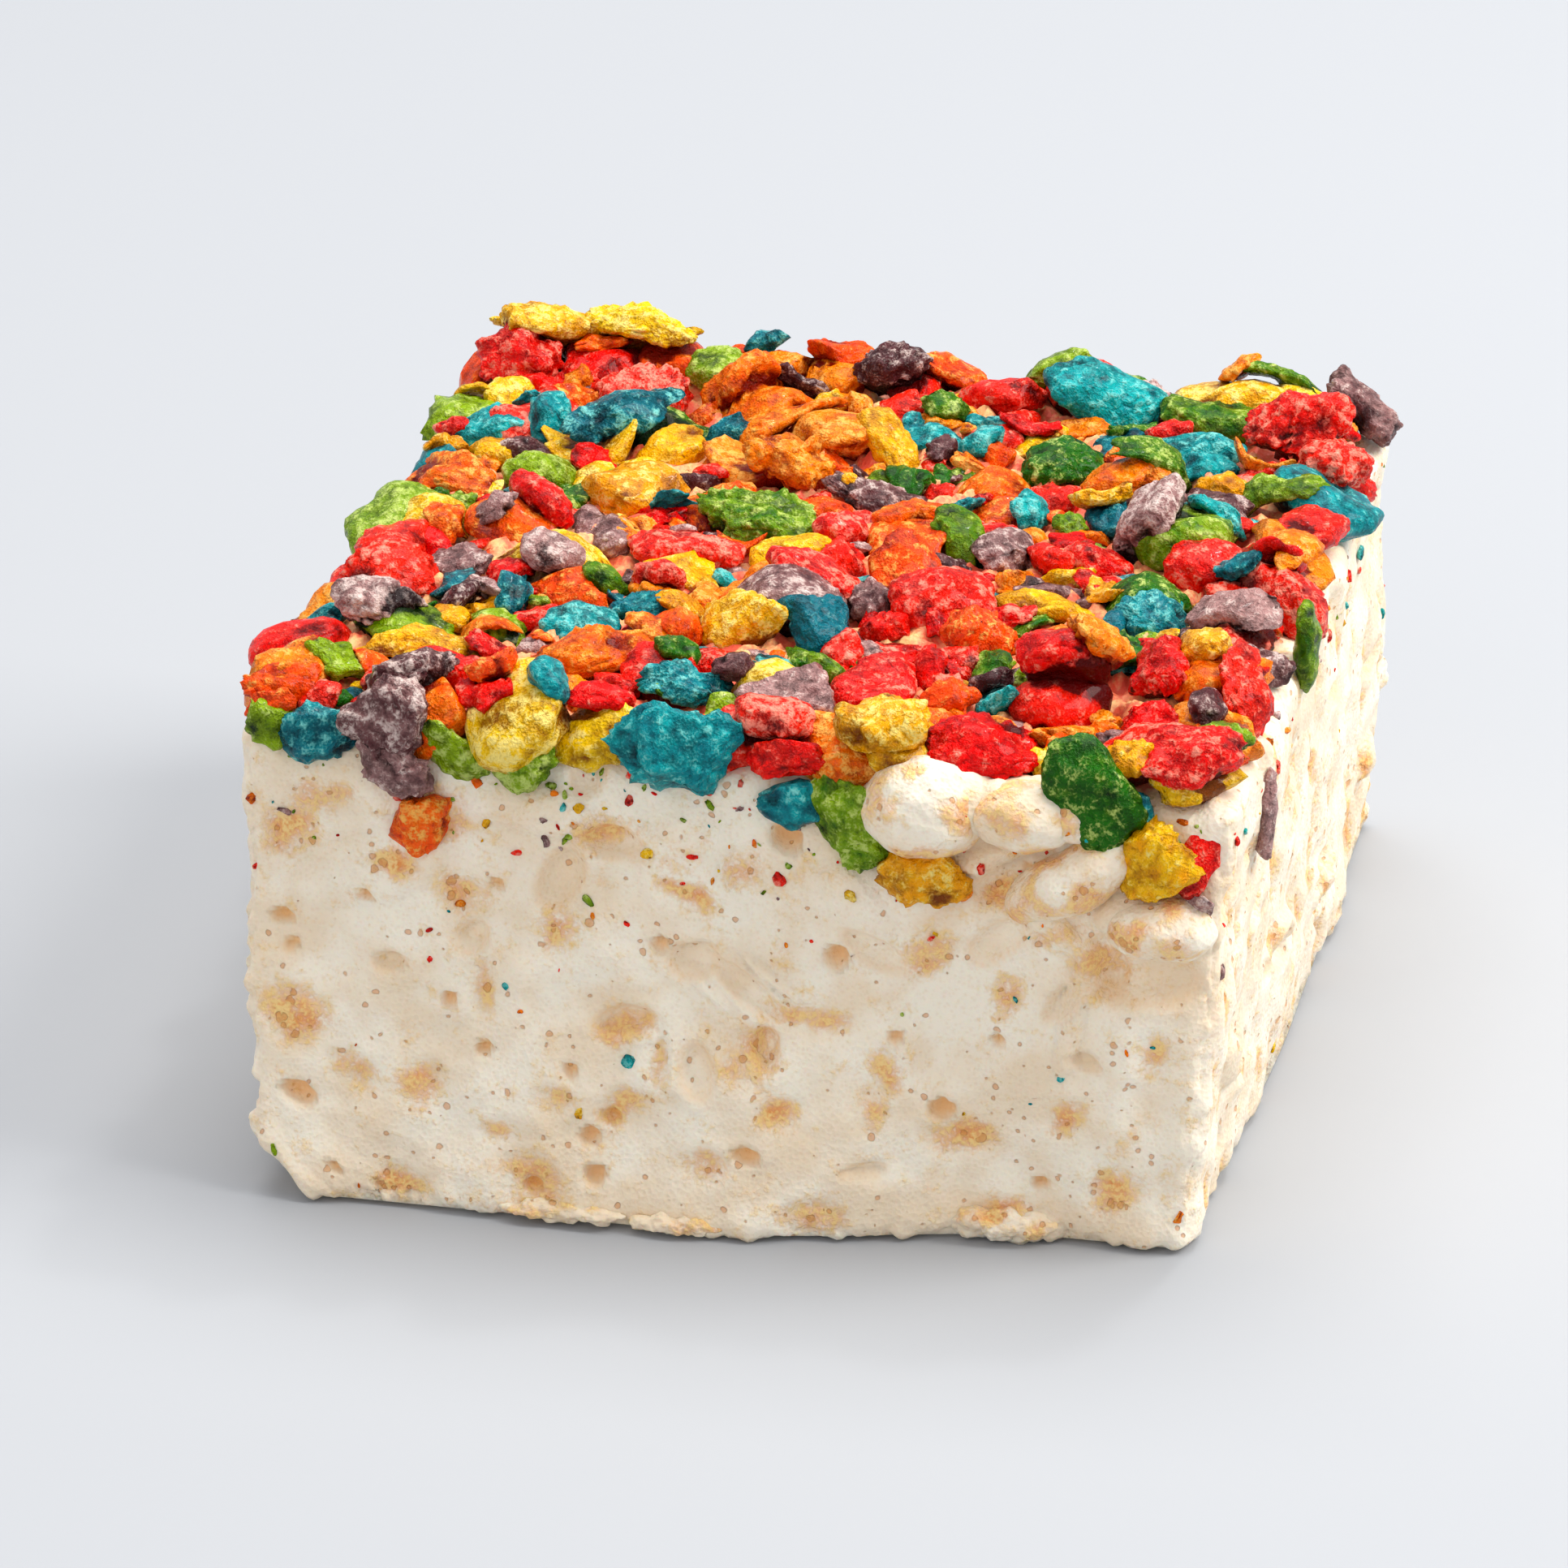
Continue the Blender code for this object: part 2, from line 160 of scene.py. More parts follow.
# What shows on the cut front, in millimetres: across, up, length, height and turn
FRONT_BUBBLES = (
    (-36, 8.5, 3.2, 1.9, -20), (4.6, 32.8, 2.9, 2.4, -30), (-5.3, 23.4, 1.6, 1.4, 0),
    (9, 23.3, 2.2, 2.0, 0), (18.3, 11.2, 2.4, 1.9, 0), (-23, 17.3, 1.5, 1.4, 0),
    (-10.8, 7.3, 1.9, 1.6, 0), (-10.2, 4.3, 2.0, 1.8, 0), (2.3, 6.9, 2.5, 1.5, -10),
    (-37, 22.8, 2.1, 1.3, 0), (-36.3, 20.5, 1.6, 1.0, 20), (-20, 13.5, 1.6, 1.2, 30),
    (14, 17, 1.5, 1.2, 0), (-30, 25, 1.4, 1.1, 0), (27, 5, 1.7, 1.2, 0), (-15.5, 3.0, 1.7, 1.3, 0),
    (-31, 1.5, 1.3, 1.1, 0), (-34.5, 3.0, 1.3, 1.0, 0), (-19, 27, 1.6, 1.0, 0),
    (-12.5, 12.5, 1.4, 1.2, 0), (-9.0, 9.0, 1.5, 1.3, 0), (13.6, 37.2, 1.7, 2.2, 20),
    (15.8, 36.4, 1.6, 2.4, -10), (18.2, 36.0, 1.7, 1.8, 30), (22.6, 17.2, 1.2, 1.0, 0),
    (24, 31.6, 1.3, 1.0, 0),
)
FRONT_DENTS = (
    (21.8, 30.4, 4.6, 2.8, 30), (31.2, 24.0, 2.8, 6.4, 10), (34.4, 23.2, 8.4, 4.4, 0),
    (-2.6, 22.3, 4.2, 3.4, 0), (1.8, 20.2, 7.5, 2.2, -38), (-8.2, 16.9, 5.4, 2.4, 15),
    (-2.0, 13.4, 2.8, 4.6, 10), (-13.5, 28.2, 6, 3.4, 60), (-9.4, 31.4, 5.0, 2.6, 0),
    (22, 25.5, 6, 3, 40), (-28, 20, 3, 1.6, 10), (12, 6, 4, 1.2, 5), (30, 16, 3, 1.4, -20),
    (-21, 22.5, 3.2, 2.4, 40), (23.5, 32.6, 6, 2.2, 10), (-11.5, 36.4, 3.6, 2.6, 50),
    (12, 24, 6, 2.4, -30), (28, 21.0, 5, 2.2, 50), (3.5, 15.5, 2.4, 4.0, 0),
)
FRONT_GRAINS = (
    (-31.5, 10.8, 5, 3, -20), (-25.5, 10, 5, 4, 30), (-13.6, 23.3, 4.4, 3.6, 60), (-10.2, 32, 6, 3, 10),
    (-16, 2.8, 6, 6, 30), (-18.5, 7.1, 3.4, 2, 0), (-28, 1.8, 6, 3, 0), (20, 8.7, 6, 3, 0),
    (29, 11, 4, 3, 40), (2.2, 14.8, 4, 5, -30), (-5.1, 14.1, 1.8, 4.2, 0), (7, 18.1, 7, 2.2, -5),
    (23, 21, 4, 3, 60), (-22, 26, 4, 3, 0), (-36, 14.8, 6, 5, 0), (-36, 30, 5, 4, 30), (8, 2, 6, 3, 0),
    (-1, 5.8, 4, 3, 0), (16.5, 24, 4, 5, -20), (33.5, 5, 5, 4, 0), (-8, 10, 5, 3, 20),
    (12.5, 11, 3, 4.4, 0), (-33.5, 33, 6, 3, 10), (-24, 32.5, 5, 4, -20), (30, 24, 6, 4, -30),
    (-7.7, 16.2, 6, 2.4, 15), (1, 30, 4, 3, 40), (-20, 18.5, 2, 5, 0), (14, 31.5, 3.2, 4, 0),
    (14.2, 36.6, 6.5, 4, 0), (16, 33.6, 4, 2.4, 0), (27, 36.5, 4, 2.4, 0), (22, 29.5, 4, 2, 30),
    (13.5, 14.2, 2.6, 4.6, 20), (26.8, 26.6, 4.6, 2, 20), (-27.5, 28, 5, 2.4, 0), (-3, 27.5, 6, 2, -20),
    (35.5, 17, 3, 4, 0), (36, 32, 3, 4, 0), (-14, 10, 4, 2.4, 0), (5, 10.5, 4, 2.4, 20),
    (24, 2.4, 6, 2.6, 0),
)
# Rolls of marshmallow that stand out at the corner, with their height in millimetres last
FRONT_ROLLS = (
    (16.3, 36.6, 12.5, 6.4, 3, 3.4), (26, 36.9, 11, 4.6, -8, 2.6), (26.6, 27.0, 12.0, 2.4, -38, 0.9),
    (21.4, 32.6, 7.0, 2.0, 20, 1.3), (34.4, 28.4, 9.6, 4.8, 0, 2.4), (28.6, 19.6, 2.2, 10, -6, 0.9),
    (-3.4, 23.7, 5.2, 0.9, 15, 0.5), (3.6, 21.4, 8.0, 0.9, -38, 0.6), (-1.4, 20.0, 5.5, 0.9, -38, 0.5),
    (-6.6, 15.6, 6.0, 0.9, 15, 0.5), (-3.9, 13.6, 0.9, 5.0, 0, 0.4), (25.7, 0.6, 8, 4.6, 0, 1.5),
    (-29.5, 27.5, 14, 6, 20, 0.8), (10.5, 27.6, 4.0, 9, 35, 0.7), (-16, 33.5, 12, 4, -6, 0.8),
)

# For the other faces: how many of each, and the shortest and longest in millimetres
LOOSE_COUNTS = {
    "bubble": (22, 1.2, 2.6),
    "dent": (16, 4.0, 8.0),
    "grain": (64, 4.0, 8.5),
    "roll": (5, 5.0, 12.0),
}
MARK_DEPTHS = {"bubble": 1.3 * MM, "dent": 1.0 * MM, "grain": 0.3 * MM, "roll": 0}
MARK_REACH = 3.0 * MM
MARK_SEED = 3
SPOTS_A_MARK = 6

# Folds that bulge from the front corner and torn lips along the foot, much as in the CAD, in
# millimetres: across, up, length, height, thickness and turn
FOLDS = (
    (15.7, 36.4, 10.6, 8.2, 8.8, 6),
    (23.6, 36.4, 9.4, 6.0, 7.4, -6),
    (27.8, 31.4, 12.5, 5.2, 6.6, 34),
    (35.0, 28.0, 9.0, 5.4, 7.2, -4),
)
FOLD_RELIEF = (0.5 * MM, 4.0 * MM)
LIPS = (
    (-13, 1.2, 10, 1.4, 2.0, 0),
    (-3, 1.0, 7, 1.4, 1.8, 0),
    (24, 1.6, 9, 2.4, 2.6, 0),
)
LIP_CLEARANCE = 0.4 * MM
LIP_RELIEF = (0.7 * MM, 1.3 * MM)
LOBE_CUTS = 5
LOBE_GRAIN = 2.6 * MM


def ramp(value, start, end):
    """0 at start, 1 at end, and smooth between the two."""
    share = np.clip((value - start) / (end - start), 0, 1)
    return share * share * (3 - 2 * share)


def noise_at(points, spacing):
    return np.array([noise.noise(point) for point in (points / spacing).tolist()])


def sagged(points):
    """Where points of the straight-sided block end up once it has sagged on its base."""
    x, y, z = np.asarray(points, float).T
    low = 1 - z / HEIGHT
    to_front = ramp(-y, 0, DEPTH / 2)
    to_left = ramp(-x, -30 * MM, 2 * MM)
    to_right = ramp(x, 0, WIDTH / 2)
    corner = ramp(-x, 22 * MM, WIDTH / 2) * ramp(-y, 15 * MM, DEPTH / 2)
    swell = FOOT_SWELL * np.maximum(low, 0) ** 1.3 * to_front * (0.25 + 0.75 * to_left)
    lean = RIGHT_LEAN * low * to_right * (0.3 + 0.7 * to_front)
    tuck = LEFT_LEAN * low * ramp(-x, 0, WIDTH / 2) * to_front
    undercut = CORNER_UNDERCUT * corner * ramp(-z, -CORNER_UNDERCUT_HEIGHT, 0)
    return np.column_stack((x - lean + tuck + undercut, y - swell + CENTRE_Y, z))


def cube_grid(cells):
    """A cube from -1 to 1 with its sides and top cut into cells, and one face underneath."""
    points, quads = [], []
    for axis in range(3):
        first, second = (axis + 1) % 3, (axis + 2) % 3
        for side in (-1, 1):
            if axis == 2 and side == -1:
                continue
            across = np.linspace(-1, 1, cells[first] + 1)
            along = np.linspace(-1, 1, cells[second] + 1)
            grid = np.zeros((len(across), len(along), 3))
            grid[..., axis] = side
            grid[..., first] = across[:, None]
            grid[..., second] = along[None, :]
            number = np.arange(grid.size // 3).reshape(grid.shape[:2]) + sum(map(len, points))
            ring = [number[:-1, :-1], number[1:, :-1], number[1:, 1:], number[:-1, 1:]]
            quads.append(np.stack(ring[::side], axis=-1).reshape(-1, 4))
            points.append(grid.reshape(-1, 3))
    merged, index = np.unique(np.concatenate(points).round(6), axis=0, return_inverse=True)
    quads = index.reshape(-1)[np.concatenate(quads)]
    rim = np.flatnonzero(merged[:, 2] == -1)
    around = np.arctan2(merged[rim, 1], merged[rim, 0])
    return merged, quads, rim[np.argsort(-around)]


def to_block(cube):
    """Points of the cube from -1 to 1 on the round-edged block, each with its outward direction."""
    half_size = np.array((WIDTH, DEPTH, HEIGHT)) / 2
    flat = cube * half_size
    core = np.clip(flat, EDGE_RADIUS - half_size, half_size - EDGE_RADIUS)
    outward = (flat - core) / np.linalg.norm(flat - core, axis=1, keepdims=True)
    points = core + outward * EDGE_RADIUS + (0, 0, half_size[2])
    return points, outward


class Face:
    """One upright face of the block: where a place on it is, and which way is across it and out of it."""

    def __init__(self, out, across):
        self.out = np.array(out, float)
        self.across = np.array(across, float)
        self.reach = np.abs(self.out) @ (WIDTH / 2, DEPTH / 2, 0)
        self.half_width = np.abs(self.across) @ (WIDTH / 2, DEPTH / 2, 0)

    def place(self, across, up):
        return self.out * self.reach + self.across * across + np.array((0, 0, up))

    def shares(self, points, mark):
        """How far each point is from a mark's middle, as a share of the mark's half size."""
        across, up, length, height, degrees = mark
        offset = points - self.place(across * MM, up * MM)
        angle = math.radians(degrees)
        flat, tall = offset @ self.across, offset[:, 2]
        along = flat * math.cos(angle) + tall * math.sin(angle)
        beside = tall * math.cos(angle) - flat * math.sin(angle)
        deep = offset @ self.out
        half_long, half_tall = length * MM / 2, height * MM / 2
        return np.sqrt((along / half_long) ** 2 + (beside / half_tall) ** 2 + (deep / half_tall) ** 2)


FACES = {
    "front": Face((0, -1, 0), (1, 0, 0)),
    "right": Face((1, 0, 0), (0, 1, 0)),
    "back": Face((0, 1, 0), (-1, 0, 0)),
    "left": Face((-1, 0, 0), (0, -1, 0)),
}


def marks_on(face_name, kind, rng):
    """The marks of one kind on a face: listed for the front, and by a rule elsewhere."""
    by_hand = {"bubble": FRONT_BUBBLES, "dent": FRONT_DENTS, "grain": FRONT_GRAINS, "roll": FRONT_ROLLS}
    if face_name == "front":
        return by_hand[kind]
    count, shortest, longest = LOOSE_COUNTS[kind]
    wide = FACES[face_name].half_width / MM - 1
    marks = []
    for _ in range(count):
        length = rng.uniform(shortest, longest)
        spots = [(rng.uniform(-wide, wide), rng.uniform(1, HEIGHT / MM - 1)) for _ in range(SPOTS_A_MARK)]
        clear = [min([math.dist(spot, mark[:2]) for mark in marks] or [1]) for spot in spots]
        across, up = spots[clear.index(max(clear))]
        upright = kind == "grain"
        narrow = rng.uniform(0.22, 0.4) if upright else rng.uniform(0.45, 0.75)
        degrees = rng.gauss(90, 12) if upright else rng.uniform(-40, 40)
        marks.append((across, up, length, length * narrow, degrees, 1.2))
    return marks


def mark_block(points, relief, rice, hollow):
    """Raises rolls and sinks bubbles, dents and grains, and notes where grains and hollows are."""
    rng = random.Random(MARK_SEED)
    for face_name, face in FACES.items():
        near = np.flatnonzero(points @ face.out > face.reach - MARK_REACH)
        for kind, depth in MARK_DEPTHS.items():
            for mark in marks_on(face_name, kind, rng):
                share = face.shares(points[near], mark[:5])
                # Bubbles and the inner rims of dents are noted in hollow, which the material tints partly
                # in the marshmallow's own tan and partly as painted shade
                if kind == "roll":
                    relief[near] += mark[5] * MM * np.clip(1 - share ** 2, 0, 1) ** 0.6
                elif kind == "bubble":
                    pit = np.sqrt(np.clip(1 - share ** 2, 0, 1))
                    relief[near] -= depth * mark[3] / 1.6 * pit
                    relief[near] += 0.08 * MM * np.exp(-((share - 1.2) / 0.2) ** 2)
                    hollow[near] = np.maximum(hollow[near], pit)
                elif kind == "dent":
                    sunk = ramp(1.15 - share, 0, 0.7)
                    relief[near] -= depth * sunk
                    relief[near] += 0.15 * MM * np.exp(-((share - 1.25) / 0.15) ** 2)
                    outline = np.exp(-((share - 0.95) / 0.14) ** 2)
                    hollow[near] = np.maximum(hollow[near], 0.10 * sunk + 0.26 * outline)
                else:
                    relief[near] -= depth * ramp(1.2 - share, 0, 0.4)
                    rice[near] = np.maximum(rice[near], np.clip(1.4 - share, 0, 1))


def join_parts(parts):
    """Several (points, faces, values) as one; faces are arrays of corner numbers."""
    points = np.concatenate([part[0] for part in parts])
    offsets = np.cumsum([0] + [len(part[0]) for part in parts[:-1]])
    faces = np.concatenate([part[1] + offset for part, offset in zip(parts, offsets)])
    values = {key: np.concatenate([part[2][key] for part in parts]) for key in parts[0][2]}
    return points, faces, values


def add_piece(name, points, faces, values):
    """A smooth mesh from arrays, with a value for each point under each name in values."""
    mesh = bpy.data.meshes.new(name)
    mesh.from_pydata(points.tolist(), [], faces)
    for key, numbers in values.items():
        mesh.attributes.new(key, "FLOAT", "POINT").data.foreach_set("value", numbers.astype(np.float32))
    mesh.shade_smooth()
    piece = bpy.data.objects.new(name, mesh)
    scene.collection.objects.link(piece)
    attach(piece, "root")
    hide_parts("crispy_treat")
    return piece


def icosphere(subdivisions):
    """Points on a ball of radius 1, and its triangles."""
    mesh = bmesh.new()
    bmesh.ops.create_icosphere(mesh, subdivisions=subdivisions, radius=1)
    points = np.array([v.co for v in mesh.verts])
    faces = np.array([[v.index for v in f.verts] for f in mesh.faces])
    mesh.free()
    return points, faces


def in_plane_turn(outward, along, degrees):
    """A rotation whose Z is outward and whose X is along, turned by degrees in that plane."""
    across = outward.cross(along).normalized()
    along = across.cross(outward)
    angle = math.radians(degrees)
    first = along * math.cos(angle) + across * math.sin(angle)
    return Matrix((first, outward.cross(first), outward)).transposed()


def face_point(face_name, across, up):
    """The sagged block's surface point on a face, and that face's outward direction."""
    face = FACES[face_name]
    return Vector(sagged([face.place(across, up)])[0]), Vector(face.out)


def lobe(shape, unevenness, rng):
    """A fold or lip of marshmallow on the front face."""
    across, up, length, height, thickness, degrees = shape
    centre, outward = face_point("front", across * MM, up * MM)
    turn = np.array(in_plane_turn(outward, Vector((0, 0, 1)).cross(outward), degrees))
    ball, faces = icosphere(LOBE_CUTS)
    size = np.array((length, height, thickness)) * MM / 2
    local = ball * size
    relief, spacing = unevenness
    shift = rng.uniform(0, 1)
    local += ball * (relief * noise_at(local + shift, spacing))[:, None]
    local += ball * (relief * 0.35 * noise_at(local + shift, spacing * 0.3))[:, None]
    points = local @ turn.T + centre
    points[:, 2] = np.maximum(points[:, 2], LIP_CLEARANCE)
    rice = np.clip(noise_at(local + shift, LOBE_GRAIN) * 2.0 + 0.3, 0.12, 0.9)
    none = np.zeros(len(points))
    return points, faces, {"rice": rice, "hollow": none, "glazed": none}


cube, quads, rim = cube_grid(BLOCK_CELLS)
straight, outward = to_block(cube)
relief = sum(height * noise_at(straight, spacing) for height, spacing in (LUMPS, WAVES, RIPPLES))
from_sides = WIDTH / 2 - abs(straight[:, 0]), DEPTH / 2 - abs(straight[:, 1])
from_rim = np.minimum(*from_sides)
from_edge = np.sort(np.column_stack((*from_sides, straight[:, 2])))[:, 1]
torn = ramp(-from_edge, -TORN_WIDTH, 0)
relief += torn * TORN[0] * (0.9 * abs(noise_at(straight, TORN[1])) - 0.45)
rice = np.zeros(len(cube))
hollow = np.zeros(len(cube))
mark_block(straight, relief, rice, hollow)
relief[cube[:, 2] == -1] = 0
shaped = straight + outward * relief[:, None]
on_top = cube[:, 2] == 1
shaped[on_top, 2] += CEREAL_BED * ramp(from_rim[on_top], BED_RIM, BED_FULL)
crusts = noise_at(straight[on_top], BED_CRUSTS[1])
crusts += 0.5 * noise_at(straight[on_top], BED_CRUSTS[1] / 3)
shaped[on_top, 2] += BED_CRUSTS[0] * crusts * ramp(from_rim[on_top], BED_RIM, CRUST_FULL)
shaped[:, 2] = np.maximum(shaped[:, 2], 0)
lobe_rng = random.Random(MARK_SEED)
lobes = [lobe(shape, FOLD_RELIEF, lobe_rng) for shape in FOLDS]
lobes += [lobe(shape, LIP_RELIEF, lobe_rng) for shape in LIPS]
fold_points, fold_faces, fold_values = join_parts(lobes)
folds = add_piece("marshmallow_folds", fold_points, fold_faces.tolist(), fold_values)
block_points = sagged(shaped)
block_faces = quads.tolist() + [rim.tolist()]
glazed = ramp(from_rim, BED_RIM, GLAZE_FULL) * (cube[:, 2] > 0.9)
block_values = {"rice": rice, "hollow": hollow, "glazed": glazed}
block = add_piece("marshmallow_block", block_points, block_faces, block_values)


class Signal:
    """A shader socket that Python's arithmetic works on, each sum or product as a Math node."""

    def __init__(self, socket):
        self.socket = socket
        self.tree = socket.id_data

    def make(self, kind, settings, values, output=0):
        """Any other node: its type, its settings, then the values or links of its sockets."""
        node = self.tree.nodes.new("ShaderNode" + kind)
        for name, value in settings.items():
            setattr(node, name, value)
        for key, value in values.items():
            if isinstance(value, Signal):
                self.tree.links.new(value.socket, node.inputs[key])
            else:
                node.inputs[key].default_value = value
        return Signal(node.outputs[output])

    def math(self, operation, first, second):
        return self.make("Math", {"operation": operation}, {0: first, 1: second})

    def __add__(self, other):
        return self.math("ADD", self, other)

    def __radd__(self, other):
        return self.math("ADD", other, self)

    def __sub__(self, other):
        return self.math("SUBTRACT", self, other)

    def __rsub__(self, other):
        return self.math("SUBTRACT", other, self)

    def __mul__(self, other):
        return self.math("MULTIPLY", self, other)

    def __rmul__(self, other):
        return self.math("MULTIPLY", other, self)

    def step(self, low, high):
        """0 below low, 1 above high, smooth between."""
        ends = {"Value": self, "From Min": low, "From Max": high}
        return self.make("MapRange", {"interpolation_type": "SMOOTHSTEP"}, ends)

    def blend(self, low, high):
        """The colour low where this is 0, and high where it is 1."""
        values = {"Factor": self, 6: low, 7: high}
        return self.make("Mix", {"data_type": "RGBA"}, values, 2)

    def grain(self, spacing, detail=2.0):
        """Smooth noise over these coordinates, with features about as large as spacing in metres."""
        return self.make("TexNoise", {}, {"Vector": self, "Scale": 1 / spacing, "Detail": detail})

    def cells(self, spacing):
        """The distance to the middle of the nearest of many scattered cells, in cell sizes."""
        return self.make("TexVoronoi", {}, {"Vector": self, "Scale": 1 / spacing})

    def beside(self, output):
        """Another output of the node that made this one."""
        return Signal(self.socket.node.outputs[output])

    def value(self, name):
        """A value that the mesh holds for each point."""
        return self.make("Attribute", {"attribute_name": name}, {}, 2)

    def bump(self, height, distance):
        values = {"Height": height, "Distance": distance, "Strength": 1.0}
        return self.make("Bump", {}, values)


def srgb(red, green, blue):
    """A colour as a picture shows it, from 0 to 255, in the linear values that a shader takes."""
    def linear(level):
        share = level / 255
        return share / 12.92 if share <= 0.04045 else ((share + 0.055) / 1.055) ** 2.4
    return linear(red), linear(green), linear(blue), 1.0


def start_material(name, constants):
    """A material with the shader's constants set: its shader node and its object coordinates."""
    material = bpy.data.materials.new(name)
    material.use_nodes = True
    shader = material.node_tree.nodes["Principled BSDF"]
    for key, value in constants.items():
        shader.inputs[key].default_value = value
    place = Signal(material.node_tree.nodes.new("ShaderNodeTexCoord").outputs["Object"])
    return material, shader, place


def feed(shader, **signals):
    """Links signals to the shader's sockets, whose names have spaces for the underscores."""
    for name, signal in signals.items():
        shader.id_data.links.new(signal.socket, shader.inputs[name.replace("_", " ")])


def marshmallow_material():
    constants = {
        "Subsurface Weight": 0.35,
        "Subsurface Radius": (1.0, 0.6, 0.35),
        "Subsurface Scale": 0.0005,
        "Specular IOR Level": 0.3,
    }
    material, shader, place = start_material("marshmallow", constants)
    soft = place.grain(6 * MM)
    blotch = place.grain(2.6 * MM)
    mid = place.grain(1.1 * MM)
    fine = place.grain(0.34 * MM)
    grainy = (blotch - 0.5) * 1.6 + (mid - 0.5) * 1.3 + (fine - 0.5) * 1.1
    rice = (place.value("rice") * 0.74 + grainy).step(0.06, 1.0)
    bent = place.make("VectorMath", {"operation": "MULTIPLY_ADD"}, {
        0: mid.beside(1), 1: (0.6 * MM,) * 3, 2: place,
    })
    spot = bent.cells(1.05 * MM)
    size = spot.beside(1) * 0.7 - 0.34
    pore = (size + rice * 0.16 - spot).step(-0.02, 0.06)
    froth = place.cells(0.42 * MM)
    hollow = place.value("hollow")
    cream = soft.step(0.35, 0.65).blend(srgb(240, 221, 193), srgb(249, 238, 219))
    toast = (fine * 0.5 + mid * 0.5).step(0.38, 0.60)
    tan = toast.blend(srgb(228, 132, 26), srgb(246, 208, 136))
    colour = (rice * 0.95).blend(cream, tan)
    # Froth pits, pores and hollows are tinted darker tan: partly the marshmallow's own colour, partly
    # painted shade in the pits, bubbles and dent rims
    colour = (froth.step(0.5, 0.1) * 0.12).blend(colour, srgb(206, 164, 116))
    colour = (pore * 0.6).blend(colour, srgb(214, 142, 72))
    colour = (hollow * 0.7).blend(colour, srgb(244, 184, 104))
    glaze = (blotch * 0.7 + fine * 0.3).step(0.40, 0.64).blend(srgb(236, 60, 0), srgb(255, 190, 120))
    colour = (place.value("glazed") * 0.9).blend(colour, glaze)
    height = mid * 0.14 + fine * (0.10 + rice * 0.3) - pore * 0.3 + froth * 0.14
    feed(shader, Base_Color=colour, Roughness=0.5 + rice * 0.2, Normal=place.bump(height, 0.5 * MM))
    return material


marshmallow = marshmallow_material()
block.data.materials.append(marshmallow)
folds.data.materials.append(marshmallow)


# The cereal flakes. Crisped rice puffed and glazed in six colours, pressed into the top while the
# marshmallow was soft, so they lie on one another like gravel and a few hang over the rim.

